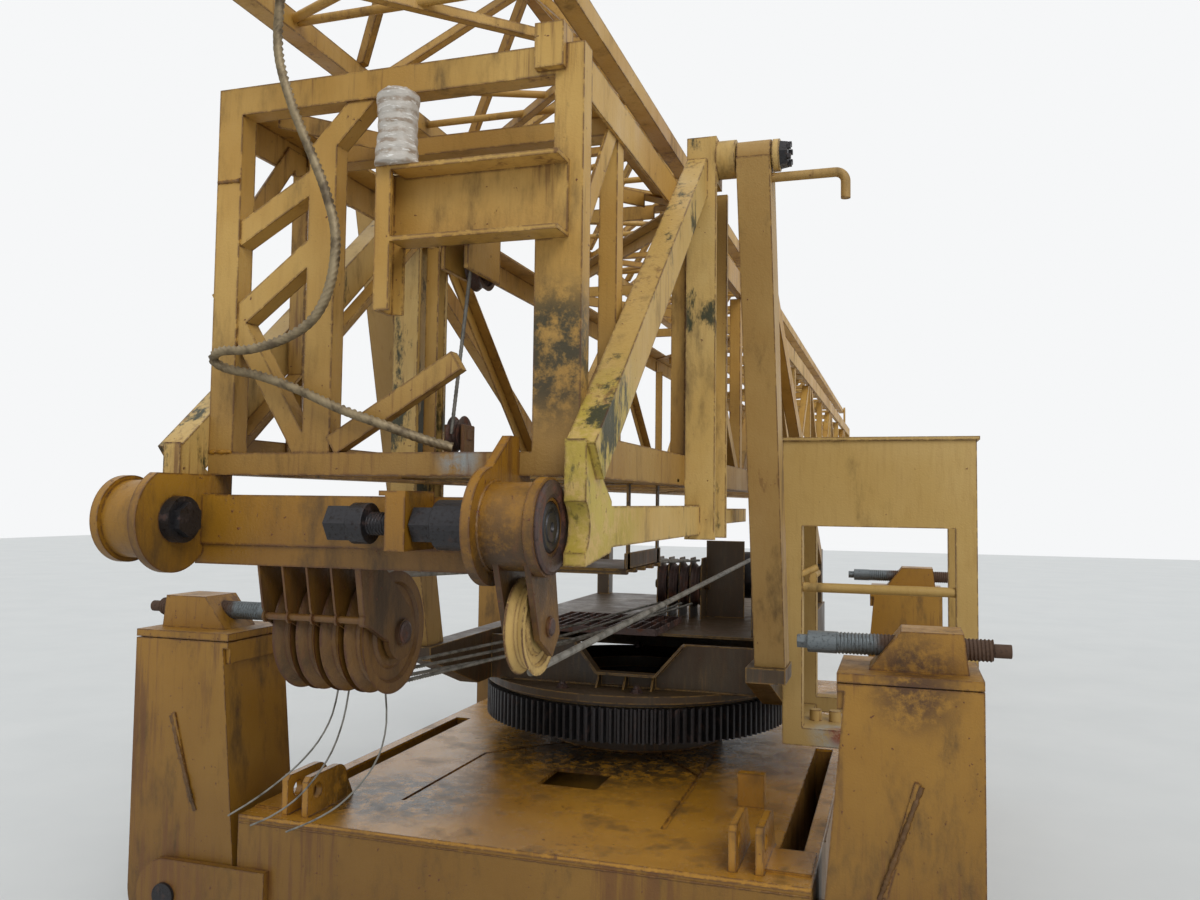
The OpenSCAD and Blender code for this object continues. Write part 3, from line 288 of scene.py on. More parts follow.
def make_finishes():
    """Every finish of the crane, by name."""
    gusset = (TOWER_X + 0.50, -2.36, 1.62)
    nut_stain = (TOWER_X + 0.86, -0.68, 0.80)
    boss_side = (TOWER_X + 0.36, -2.5, 1.47)
    post_stain = (TOWER_X + 0.39, -2.4, 1.90)
    splash = (TOWER_X + 0.184, -2.4, 1.69)
    head_rust = (1.17, -1.48, 1.12)
    foot_rust = (1.02, -1.52, 0.40)
    # Centre of the dark patch painted on the deck as the shade round and under the slewing ring
    ring_shade = (0.0, -0.3, 0.58)
    deck_mud = (-0.5, -1.2, 0.58)
    return {
        # Ochre machine paint under years of weather: dull, patchy, and darker towards the ground
        "ochre": weathered_paint("ochre_machine_paint", "#ab8034", "#be9850", 0.02, 0.04, 0.02, 0.40, 0.0,
                                 (1.5, 2.3, 0.5),
                                 spots=[("#2f2f18", post_stain, 0.2), ("#a7b0b0", splash, 0.07)]),
        # The beam of the tower's foot: the same paint under splashed mud, blackened round the bosses
        "foot": weathered_paint("mud_splashed_paint", "#93640f", "#a4761c", 0.05, 0.10, 0.0, 0.30, 20.0,
                                (1.40, 1.72, 0.6), spots=[("#3a2712", boss_side, 0.2)]),
        # Deck paint soaked by rain: orange brown, with a sheen of water, a patch of mud, and painted shade round
        # and under the slewing ring
        "deck": weathered_paint("wet_deck_paint", "#a3721f", "#b7842f", 0.0, 0.07, -0.1, 0.10, 50.0,
                                spots=[("#2c251c", ring_shade, 0.85), ("#3f3019", deck_mud, 0.4)]),
        # A paler coat on the braces, thick with algae, and a fresh lemon coat on the gusset
        "pale": weathered_paint("pale_ochre_paint", "#b8954f", "#c4a668", 0.02, 0.04, 0.11, 0.38, 90.0,
                                spots=[("#a9923a", gusset, 0.40), ("#b7a24c", gusset, 0.14)]),
        # The two long posts behind: the same paint, browner and cleaner
        "post": weathered_paint("post_paint", "#9f7c40", "#ab8a4e", 0.0, 0.04, -0.02, 0.42, 110.0,
                                (0.9, 2.0, 0.35)),
        # The cage: newer, even and dull, with a stain of primer at its lower corner
        "cage": weathered_paint("cage_paint", "#b1904e", "#bb9c5e", -0.05, 0.0, -0.2, 0.5, 130.0,
                                (0.7, 1.5, 0.25),
                                spots=[("#a9aaa0", nut_stain, 0.14), ("#8a3f1c", nut_stain, 0.07)]),
        # The legs: weathered paint with long runs of rust, muddy near the ground
        "leg": weathered_paint("leg_paint", "#93681a", "#a27729", 0.06, 0.08, 0.0, 0.30, 170.0,
                               (0.2, 1.3, 0.6),
                               spots=[("#4d3010", head_rust, 0.17), ("#3d2611", foot_rust, 0.20)]),
        # The middle of the platform: near-black paint, partly grease and soot and partly painted shade where the
        # tower and the ring shade the platform, its collar and its girders; its edges rubbed back to ochre
        "grease_and_shade": weathered_paint("greasy_and_shaded_paint", "#33281a", "#46371f", 0.02, 0.20, 0.0, 0.32, 210.0,
                                 edge="#8d6a2c"),
        # Block: brown, rubbed and rusty
        "block": weathered_paint("block_paint", "#5f4015", "#6e4c1c", 0.05, 0.12, -0.05, 0.32, 250.0),
        # Greased forged steel of the pins and teeth: near black, with a dull shine
        "steel": rusty_metal("greased_forged_steel", "#3a393b", "#43302a", 0.08, 0.75, 1.0),
        # Zinc plated spindle, dull and grey, and rusty where the nut leaves it bare
        "zinc": rusty_metal("zinc_plated_steel", "#6c7376", "#4f3a2b", 0.0, 0.5, 33.0, 1.10),
        # Cast sheaves, rusted where no rope runs
        "rust": rusty_metal("rusted_cast_iron", "#4a3a36", "#603824", 0.14, 0.4, 12.0),
        # Steel wire ropes: grey, with brown grease between the wires
        "rope": wire_rope("steel_wire_rope", "#85827a", "#4e4a42"),
        # Sling rope, bleached by the weather and stiff
        "hemp": wire_rope("weathered_sling_rope", "#9c8b6c", "#5c4e3a"),
        # Film around the pad: milky, with a broken shine
        "wrap": plastic_wrap("polythene_wrap"),
    }


FINISH_OF_SLOT = {
    "ochre_paint": "ochre",
    "pale_ochre_paint": "pale",
    "dark_steel": "steel",
    "rusty_iron": "rust",
    "rope_wire": "rope",
    "plastic_wrap": "wrap",
}
FINISH_OF_NODE = {
    "deck_plate": "deck", "deck_lugs": "deck", "cage_frame": "cage", "cage_rail": "cage",
    "chassis_frame": "leg",
    # The frame, flange, collar, winch frame and fixed block of the platform take the near-black paint that holds
    # painted shade
    "platform_frame": "grease_and_shade", "base_flange": "grease_and_shade", "ring_collar": "grease_and_shade", "winch_frame": "grease_and_shade",
    "fixed_block": "grease_and_shade", "block_cheeks": "block", "block_sheaves": "block", "single_sheave": "cage",
    "foot_beam": "foot", "a_post_r": "post", "a_post_l": "post", "fixed_sheaves": "rust",
}
for corner in CORNERS:
    FINISH_OF_NODE["leg_" + corner] = "leg"
    FINISH_OF_NODE["jack_" + corner] = "zinc"
FINISHES = make_finishes()


def geometry_tree(name, sizes):
    """An empty Geometry Nodes tree with one input for each size, and its two ends."""
    tree = bpy.data.node_groups.new(name, "GeometryNodeTree")
    tree.interface.new_socket("Geometry", in_out="INPUT", socket_type="NodeSocketGeometry")
    for label, value in sizes.items():
        made = tree.interface.new_socket(label, in_out="INPUT", socket_type="NodeSocketFloat")
        made.default_value = value
    tree.interface.new_socket("Material", in_out="INPUT", socket_type="NodeSocketMaterial")
    tree.interface.new_socket("Geometry", in_out="OUTPUT", socket_type="NodeSocketGeometry")
    return tree, add(tree, "NodeGroupInput").outputs


def close_tree(tree, given, geometry):
    """Ends a tree in real geometry with its material."""
    real = add(tree, "GeometryNodeRealizeInstances", {"Geometry": geometry}).outputs["Geometry"]
    done = add(tree, "GeometryNodeSetMaterial", {"Geometry": real, "Material": given["Material"]})
    add(tree, "NodeGroupOutput", {"Geometry": done.outputs["Geometry"]})
    return tree


def bolt_tree():
    """A hexagon head with its washer and stud on every point, along the point's own normal."""
    tree, given = geometry_tree("hex_bolts", {"Radius": 0.018, "Height": 0.014})
    washer_r = times(tree, given["Radius"], 1.25)
    washer_h = times(tree, given["Height"], 0.25)
    stud_r = times(tree, given["Radius"], 0.55)
    stud_h = times(tree, given["Height"], 1.7)
    parts = []
    for sides, radius, height in ((6, given["Radius"], given["Height"]), (16, washer_r, washer_h),
                                  (12, stud_r, stud_h)):
        body = add(tree, "GeometryNodeMeshCylinder", {"Vertices": sides, "Radius": radius, "Depth": height})
        up = times(tree, height, 0.5)
        place = add(tree, "ShaderNodeCombineXYZ", {"Z": up}).outputs[0]
        lifted = add(tree, "GeometryNodeTransform", {"Geometry": body.outputs["Mesh"], "Translation": place})
        parts.append(lifted.outputs["Geometry"])
    joined = add(tree, "GeometryNodeJoinGeometry")
    for part in parts:
        tree.links.new(part, joined.inputs["Geometry"])
    along = add(tree, "GeometryNodeInputNamedAttribute", {"Name": "along"}, data_type="FLOAT_VECTOR")
    turned = add(tree, "FunctionNodeAlignRotationToVector", {"Vector": along.outputs["Attribute"]}, axis="Z")
    spin = add(tree, "FunctionNodeRandomValue", {"Max": math.pi, "Seed": 5}, data_type="FLOAT")
    about = add(tree, "ShaderNodeCombineXYZ", {"Z": [s for s in spin.outputs if s.enabled][0]}).outputs[0]
    both = add(tree, "FunctionNodeRotateRotation", {"Rotation": turned.outputs[0], "Rotate By": about},
               rotation_space="LOCAL")
    points = add(tree, "GeometryNodeMeshToPoints", {"Mesh": given["Geometry"]})
    placed = add(tree, "GeometryNodeInstanceOnPoints",
                 {"Points": points.outputs["Points"], "Instance": joined.outputs["Geometry"],
                  "Rotation": both.outputs["Rotation"]})
    return close_tree(tree, given, placed.outputs["Instances"])


def rope_tree():
    """A laid rope: a six-lobed section that turns as it runs along the line."""
    tree, given = geometry_tree("laid_rope", {"Radius": 0.008, "Lay": 0.1, "Step": 0.006})
    line = add(tree, "GeometryNodeMeshToCurve", {"Mesh": given["Geometry"]})
    even = add(tree, "GeometryNodeResampleCurve", {"Curve": line.outputs["Curve"], "Length": given["Step"]},
               mode="LENGTH")
    run = add(tree, "GeometryNodeSplineParameter").outputs["Length"]
    turns = add(tree, "ShaderNodeMath", {0: run, 1: given["Lay"]}, operation="DIVIDE").outputs[0]
    tilt = times(tree, turns, 2 * math.pi)
    twisted = add(tree, "GeometryNodeSetCurveTilt", {"Curve": even.outputs["Curve"], "Tilt": tilt})
    inner = times(tree, given["Radius"], 0.66)
    lobes = add(tree, "GeometryNodeCurveStar", {"Points": 6, "Inner Radius": inner,
                                                "Outer Radius": given["Radius"]})
    swept = add(tree, "GeometryNodeCurveToMesh", {"Curve": twisted.outputs["Curve"],
                                                  "Profile Curve": lobes.outputs["Curve"], "Fill Caps": True})
    return close_tree(tree, given, swept.outputs["Mesh"])


def bead_tree():
    """A weld bead: a lumpy rod along the line, with ripples from the welder's hand."""
    tree, given = geometry_tree("weld_bead", {"Radius": 0.006, "Step": 0.006})
    line = add(tree, "GeometryNodeMeshToCurve", {"Mesh": given["Geometry"]})
    even = add(tree, "GeometryNodeResampleCurve", {"Curve": line.outputs["Curve"], "Length": given["Step"]},
               mode="LENGTH")
    lump = add(tree, "FunctionNodeRandomValue", {"Min": 0.7, "Max": 1.25, "Seed": 3}, data_type="FLOAT")
    share = [s for s in lump.outputs if s.enabled][0]
    grown = add(tree, "GeometryNodeSetCurveRadius", {"Curve": even.outputs["Curve"], "Radius": share})
    ring = add(tree, "GeometryNodeCurvePrimitiveCircle", {"Resolution": 7, "Radius": given["Radius"]})
    swept = add(tree, "GeometryNodeCurveToMesh", {"Curve": grown.outputs["Curve"],
                                                  "Profile Curve": ring.outputs["Curve"],
                                                  "Scale": share, "Fill Caps": True})
    return close_tree(tree, given, swept.outputs["Mesh"])


def bar_tree():
    """A round bar along every line."""
    tree, given = geometry_tree("round_bars", {"Radius": 0.008})
    line = add(tree, "GeometryNodeMeshToCurve", {"Mesh": given["Geometry"]})
    ring = add(tree, "GeometryNodeCurvePrimitiveCircle", {"Resolution": 8, "Radius": given["Radius"]})
    swept = add(tree, "GeometryNodeCurveToMesh", {"Curve": line.outputs["Curve"],
                                                  "Profile Curve": ring.outputs["Curve"], "Fill Caps": True})
    return close_tree(tree, given, swept.outputs["Mesh"])


TREES = {"bolts": bolt_tree(), "rope": rope_tree(), "bead": bead_tree(), "bars": bar_tree()}


def lines_mesh(name, lines):
    """A mesh of open lines, each a list of points."""
    mesh = bpy.data.meshes.new(name)
    points, edges = [], []
    for line in lines:
        first = len(points)
        points += [tuple(p) for p in line]
        edges += [(first + i, first + i + 1) for i in range(len(line) - 1)]
    mesh.from_pydata(points, edges, [])
    return mesh


def points_mesh(name, places):
    """A mesh of points, each (place, direction), with the direction kept as an attribute."""
    mesh = bpy.data.meshes.new(name)
    mesh.from_pydata([tuple(p) for p, _ in places], [], [])
    along = mesh.attributes.new("along", "FLOAT_VECTOR", "POINT")
    for i, (_, d) in enumerate(places):
        along.data[i].vector = d
    return mesh


def dress(piece, body, finish):
    """Links a finished piece to its body and to the material slot of its finish."""
    piece.data.materials.clear()
    piece.data.materials.append(FINISHES[finish])
    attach(piece, body)
    return piece


def placed(name, data):
    """A new object in the scene."""
    made = bpy.data.objects.new(name, data)
    bpy.context.collection.objects.link(made)
    return made


def grown(name, mesh, tree, body, finish, smooth=False, **sizes):
    """Runs a Geometry Nodes tree on a mesh, and keeps the plain mesh that comes out."""
    seed = placed(name + "_seed", mesh)
    step = seed.modifiers.new("grow", "NODES")
    step.node_group = TREES[tree]
    values = {key.capitalize(): value for key, value in sizes.items()}
    values["Material"] = FINISHES[finish]
    for item in TREES[tree].interface.items_tree:
        if item.in_out == "INPUT" and item.name in values:
            step[item.identifier] = values[item.name]
    graph = bpy.context.evaluated_depsgraph_get()
    made = bpy.data.meshes.new_from_object(seed.evaluated_get(graph), depsgraph=graph)
    bpy.data.objects.remove(seed)
    if not made.vertices:
        raise RuntimeError(name + " came out empty")
    if smooth:
        made.shade_smooth()
    made.name = name
    return dress(placed(name, made), body, finish)


def shaped(name, work, body, finish, smooth=False):
    """Keeps a bmesh as a finished piece with its faces outwards."""
    bmesh.ops.remove_doubles(work, verts=work.verts, dist=1e-5)
    bmesh.ops.recalc_face_normals(work, faces=work.faces)
    mesh = bpy.data.meshes.new(name)
    work.to_mesh(mesh)
    work.free()
    if smooth:
        mesh.shade_smooth()
    return dress(placed(name, mesh), body, finish)


def seat(node, origin, direction):
    """The place where a line from origin first meets a node of the solids."""
    mesh = frame["nodes"][node].data
    faces = BVHTree.FromPolygons([v.co for v in mesh.vertices], [p.vertices for p in mesh.polygons])
    place = faces.ray_cast(Vector(origin), Vector(direction))[0]
    if place is None:
        raise RuntimeError("no face of " + node + " there")
    return place


def lathe(name, profile, centre, body, finish, count=40):
    """A closed profile of (radius, way along X), turned about an axis along X through centre."""
    work = bmesh.new()
    rows = []
    for i in range(count):
        a = math.tau * i / count
        ring = [Vector((x, r * math.cos(a), r * math.sin(a))) for r, x in profile]
        rows.append([work.verts.new(centre + point) for point in ring])
    for i in range(count):
        lower, upper = rows[i], rows[(i + 1) % count]
        for k in range(len(profile)):
            m = (k + 1) % len(profile)
            if profile[k][0] or profile[m][0]:
                work.faces.new((lower[k], lower[m], upper[m], upper[k]))
    return shaped(name, work, body, finish)


def turned_bar(name, node, body, finish, pitch, depth, sections):
    """A bar turned along X from one piece, with its thread cut into it, which stands for a node.

    Each section is (length, radius, kind), from the end nearer to the crane's middle; kind is hexagon,
    plain or thread. Nothing is wider than the solid, so the thread passes through its nut.
    """
    low, high = lo(node), hi(node)
    side = 1 if low.x > 0 else -1
    start = low.x if side > 0 else high.x
    middle = (low + high) / 2
    edge = 0.0015
    around = 30
    rings_per_turn = 6
    rows, at = [], 0.0
    for length, radius, kind in sections:
        end = at + length
        if kind == "thread":
            steps = int(length / pitch * rings_per_turn)
            rows += [(at + length * i / steps, radius, kind) for i in range(steps)]
        else:
            rows += [(at, radius - edge, kind), (at + edge, radius, kind), (end - edge, radius, kind),
                     (end - 0.0001, radius - edge, kind)]
        at = end
    work = bmesh.new()
    rings = []
    for along, radius, kind in rows:
        ring = []
        for i in range(around):
            a = math.tau * i / around
            r = radius
            if kind == "hexagon":
                r = radius * math.cos(math.pi / 6) / math.cos(a % (math.pi / 3) - math.pi / 6)
            if kind == "thread":
                wave = abs(2 * ((along / pitch - i / around) % 1) - 1)
                r = radius - depth * min(1, max(0, (0.75 - wave) / 0.5))
            ring.append(work.verts.new((start + side * along, middle.y + r * math.cos(a),
                                        middle.z + r * math.sin(a))))
        rings.append(ring)
    for first, second in zip(rings, rings[1:]):
        for i in range(around):
            k = (i + 1) % around
            work.faces.new((first[i], first[k], second[k], second[i]))
    work.faces.new(rings[0])
    work.faces.new(rings[-1])
    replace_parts(shaped(name, work, body, finish), node)


def slab(work, low, high, bevel=0.002):
    """Adds a block with broken edges to a bmesh."""
    size = Vector(high) - Vector(low)
    middle = (Vector(high) + Vector(low)) / 2
    place = Matrix.Translation(middle) @ Matrix.Diagonal((*size, 1))
    made = bmesh.ops.create_cube(work, size=1.0, matrix=place)
    edges = {e for v in made["verts"] for e in v.link_edges}
    bmesh.ops.bevel(work, geom=list(edges), offset=min(bevel, min(size) * 0.3), segments=1, affect="EDGES")


def spline(points, steps):
    """Points of a smooth line through the given ones."""
    line = []
    last = len(points) - 1
    for i in range(last):
        a, b, c, d = (Vector(points[k]) for k in (max(i - 1, 0), i, i + 1, min(i + 2, last)))
        for k in range(steps):
            t = k / steps
            line.append(0.5 * (2 * b + (c - a) * t + (2 * a - 5 * b + 4 * c - d) * t ** 2
                               + (3 * b - a - 3 * c + d) * t ** 3))
    line.append(Vector(points[last]))
    return line


def ring_line(centre, radius, axis, count=28):
    """A closed ring of points about an axis, X, Y or Z."""
    line = []
    for i in range(count + 1):
        a = 2 * math.pi * i / count
        u, v = radius * math.cos(a), radius * math.sin(a)
        offset = {"X": (0, u, v), "Y": (u, 0, v), "Z": (u, v, 0)}[axis]
        line.append(Vector(centre) + Vector(offset))
    return line


class CraneSizes(bpy.types.PropertyGroup):
    """Sizes of the crane's fine pieces, and the light of its stage."""

    lift_rope: bpy.props.FloatProperty(
        name="Loose rope", description="Diameter of the loose rope at the foot", default=0.022, unit="LENGTH")
    thin_rope: bpy.props.FloatProperty(
        name="Tackle rope", description="Diameter of the ropes of the tackle", default=0.011, unit="LENGTH")
    wire: bpy.props.FloatProperty(
        name="Broken wire", description="Diameter of a broken wire", default=0.0045, unit="LENGTH")
    bolt: bpy.props.FloatProperty(
        name="Bolt head", description="Radius of a bolt head on the slewing flange", default=0.021,
        unit="LENGTH")
    bead: bpy.props.FloatProperty(
        name="Weld bead", description="Radius of a weld bead", default=0.005, unit="LENGTH")
    pitch: bpy.props.FloatProperty(
        name="Thread pitch", description="Distance between a spindle's turns", default=0.010, unit="LENGTH")
    sky: bpy.props.FloatProperty(
        name="Sky", description="Strength of the overcast sky", default=0.85, min=0.0)
    floor: bpy.props.FloatProperty(
        name="Floor size", description="Side of the floor", default=60.0, unit="LENGTH")


class CRANE_OT_ropes(bpy.types.Operator):
    """Lay the loose rope, the broken wires and the lower falls of the tackle"""

    bl_idname = "crane.ropes"
    bl_label = "Ropes"

    def execute(self, context):
        sizes = context.scene.crane
        shift = Vector((TOWER_X, 0, 0))
        route = [p + shift for p in spline(LIFT_ROUTE, 4)]
        loose = grown("loose_rope", lines_mesh("loose_line", [route]), "rope", "tower", "hemp",
                      radius=sizes.lift_rope / 2, lay=0.085, step=0.004)
        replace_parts(loose, "lift_rope")
        self.broken_wires(sizes)
        self.tackle(sizes)
        return {"FINISHED"}

    def broken_wires(self, sizes):
        """Three stiff wires that hang from the block and curl aside."""
        for i, points in enumerate(WIRE_ROUTES):
            line = spline(points, 3)
            name = "broken_wire_%d" % (i + 1)
            wire = grown(name, lines_mesh(name + "_line", [line]), "bars", "tower", "rope", smooth=True,
                         radius=sizes.wire / 2)

    def tackle(self, sizes):
        """The lower falls, each with its own slack, from the block to short of the fixed one."""
        falls = 4
        groove = 0.86
        slack = 0.012
        short = 0.03
        blocks = [(lo(node), hi(node)) for node in ("block_sheaves", "fixed_sheaves")]
        middle = [(a + b) / 2 for a, b in blocks]
        radius = [(b.z - a.z) / 2 for a, b in blocks]
        pitch = [(b.x - a.x) / falls for a, b in blocks]
        drop = radius[0] * groove + sizes.thin_rope / 2 + 0.001
        ropes = []
        for i in range(falls):
            k = i - (falls - 1) / 2
            low = middle[0] + Vector((k * pitch[0] * 1.05, 0.02, -drop))
            far = middle[1] + Vector((k * pitch[1], -radius[1] - short, -radius[1] * 0.72))
            sag = (low + far) / 2 - Vector((0, 0, slack * (1 + (i * 7 % 3))))
            ropes.append(spline([low, sag, far], 12))
        grown("lower_falls", lines_mesh("fall_lines", ropes), "rope", "tower", "rope",
              radius=sizes.thin_rope / 2, lay=0.07, step=0.009)


class CRANE_OT_screws(bpy.types.Operator):
    """Cut the threads of the leg spindles and of the locking screw"""

    bl_idname = "crane.screws"
    bl_label = "Screws"

    def execute(self, context):
        pitch = context.scene.crane.pitch
        head = 0.030
        neck = 0.082
        tail = 0.045
        for tag, body in CORNERS.items():
            node = "jack_" + tag
            full = (hi(node).z - lo(node).z) / 2 - 0.0002
            thread = hi(node).x - lo(node).x - (head + neck + tail)
            turned_bar("spindle_" + tag, node, "jack_" + body, "zinc", pitch, 0.0028,
                       [(head, full - 0.010, "hexagon"), (neck, full, "plain"), (thread, full, "thread"),
                        (tail, full - 0.012, "plain")])
        # The locking screw is lengths of bar whose radii are those of the solid, 0.2 mm smaller
        turned_bar("locking_screw", "lock_pin_r", "lock_pin_right", "steel", pitch * 0.7, 0.0024,
                   [(0.052, 0.0398, "hexagon"), (0.037, 0.0418, "plain"), (0.103, 0.0238, "thread"),
                    (0.050, 0.0388, "hexagon"), (0.227, 0.0498, "plain")])
        return {"FINISHED"}


class CRANE_OT_bolts(bpy.types.Operator):
    """Set the bolts of the slewing flange, the ring and pin of the right boss and the caps of the axles"""

    bl_idname = "crane.bolts"
    bl_label = "Bolts"

    def execute(self, context):
        radius = context.scene.crane.bolt
        circle = 0.59
        count = 12
        girder = (-0.61, -0.48)
        places = []
        for i in range(count):
            a = math.radians((i + 0.5) * 360 / count)
            x, y = circle * math.cos(a), circle * math.sin(a)
            # The left girder covers two of the bolts
            if not girder[0] < x < girder[1]:
                places.append(((x, y, hi("base_flange").z), (0, 0, 1)))
        grown("flange_bolts", points_mesh("flange_bolt_points", places), "bolts", "platform", "rust",
              radius=radius, height=radius * 0.7)
        self.boss_faces()
        self.axle_caps()
        return {"FINISHED"}

    def boss_faces(self):
        """Rusty ring on the right boss, and the turned end of its locking pin."""
        at = Vector((hi("foot_beam").x, *BOSS_AXIS))
        bore, rim = 0.0565, 0.0905
        lathe("boss_ring", [(bore, -0.003), (rim, -0.003), (rim, 0.004), (0.084, 0.007), (0.064, 0.007),
                            (bore, 0.004)], at, "tower", "rust")
        pin = Vector((hi("lock_pin_r").x, *BOSS_AXIS))
        lathe("pin_face", [(0.0, -0.004), (0.0485, -0.004), (0.0485, 0.004), (0.044, 0.008), (0.036, 0.008),
                           (0.034, 0.005), (0.030, 0.005), (0.028, 0.008), (0.010, 0.008), (0.007, 0.003),
                           (0.0, 0.003)], pin, "lock_pin_right", "steel")

    def axle_caps(self):
        """Caps on the axles of the block and of the single sheave."""
        for name, node, y, z, radius in (("block_axle_cap", "block_cheeks", -2.225, 1.295, 0.026),
                                         ("single_axle_cap", "foot_beam", -2.44, 1.355, 0.017)):
            face = seat(node, (1.0, y + radius, z), (-1, 0, 0))
            profile = [(0.0, -0.004), (radius, -0.004), (radius, 0.002), (radius * 0.8, 0.004), (0.0, 0.004)]
            lathe(name, profile, Vector((face.x, y, z)), "tower", "rust")


class CRANE_OT_welds(bpy.types.Operator):
    """Run the weld beads along the joints that show"""

    bl_idname = "crane.welds"
    bl_label = "Welds"

    def execute(self, context):
        radius = context.scene.crane.bead
        boss_r = 0.0855
        tower = [ring_line((TOWER_X + x, *BOSS_AXIS), boss_r, "X") for x in (0.320, 0.4145)]
        for z in (1.702, 2.33):
            places = [(TOWER_X - 0.387 - 0.012 * i, -3.0, z) for i in range(6)]
            tower.append([seat("end_frame", place, (0, 1, 0)) for place in places])
        grown("tower_welds", lines_mesh("tower_weld_lines", tower), "bead", "tower", "foot", radius=radius)
        top = hi("deck_plate").z
        chassis = [ring_line((0, 0, top + 0.002), hi("ring_collar").x + 0.002, "Z", 64)]
        for side in (-1, 1):
            for x in (0.675, 0.697, 0.75, 0.772):
                chassis.append([(side * x, y, top + 0.001) for y in (-1.505, -1.42, -1.33, -1.25)])
            edge = side * hi("deck_plate").x
            chassis.append([(edge, y / 10, top - 0.024) for y in range(-11, 12, 2)])
        front = lo("deck_plate").y
        chassis.append([(x / 10, front, top - 0.024) for x in range(-9, 10)])
        grown("chassis_welds", lines_mesh("chassis_weld_lines", chassis), "bead", "chassis", "leg",
              radius=radius * 0.7)
        flange = hi("base_flange").z
        platform = [[(x / 20, -0.474, flange + 0.002) for x in range(-9, 13)]]
        grown("platform_welds", lines_mesh("platform_weld_lines", platform), "bead", "platform", "grease_and_shade",
              radius=radius)
        self.leg_seams(radius)
        return {"FINISHED"}

    def leg_seams(self, radius):
        """The slanting repair on the face of each leg."""
        for tag, body in CORNERS.items():
            node = "leg_" + tag
            side = 1 if lo(node).x > 0 else -1
            way = 1 if lo(node).y < 0 else -1
            line = []
            for i in range(9):
                x, z = side * (1.184 - 0.106 * i / 8), 0.872 - 0.3 * i / 8
                line.append(seat(node, (x, -way * 3.0, z), (0, way, 0)))
            grown("leg_repair_" + tag, lines_mesh("repair_line", [line]), "bead", "leg_" + body, "block",
                  radius=radius * 1.5)


class CRANE_OT_wrap(bpy.types.Operator):
    """Wrap the pad in crumpled film with a loose upper edge"""

    bl_idname = "crane.wrap"
    bl_label = "Wrapped pad"

    def execute(self, context):
        low, high = lo("wrapped_pad"), hi("wrapped_pad")
        middle = (low + high) / 2
        radius = (high.x - low.x) / 2
        pick = random.Random(7)
        sides, rings = 56, 40
        folds = [(pick.uniform(0, math.tau), pick.randint(3, 9), pick.uniform(0.2, 1.0)) for _ in range(7)]
        work = bmesh.new()
        rows = []
        for j in range(rings + 1):
            t = j / rings
            row = []
            for i in range(sides):
                a = math.tau * i / sides
                crease = sum(s * math.sin(n * a + p + 9 * t * s) for p, n, s in folds) / 4
                rib = 0.25 * math.sin(math.tau * t * 6 + 0.6 * math.sin(2 * a))
                pinch = 1 - 0.12 * math.exp(-((t - 0.5) / 0.3) ** 2) - 0.3 * max(0, t - 0.93) / 0.07
                r = radius * 0.93 * pinch + 0.0035 * (crease + rib)
                z = low.z + (high.z - low.z) * t
                if j == rings:
                    z -= 0.006 * (1 + math.sin(5 * a + 1))
                row.append(work.verts.new((middle.x + r * math.cos(a), middle.y + r * math.sin(a), z)))
            rows.append(row)
        for lower, upper in zip(rows, rows[1:]):
            for i in range(sides):
                k = (i + 1) % sides
                work.faces.new((lower[i], lower[k], upper[k], upper[i]))
        work.faces.new(list(reversed(rows[0])))
        work.faces.new(rows[-1])
        piece = shaped("wrapped_bundle", work, "tower", "wrap", smooth=True)
        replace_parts(piece, "wrapped_pad")
        return {"FINISHED"}


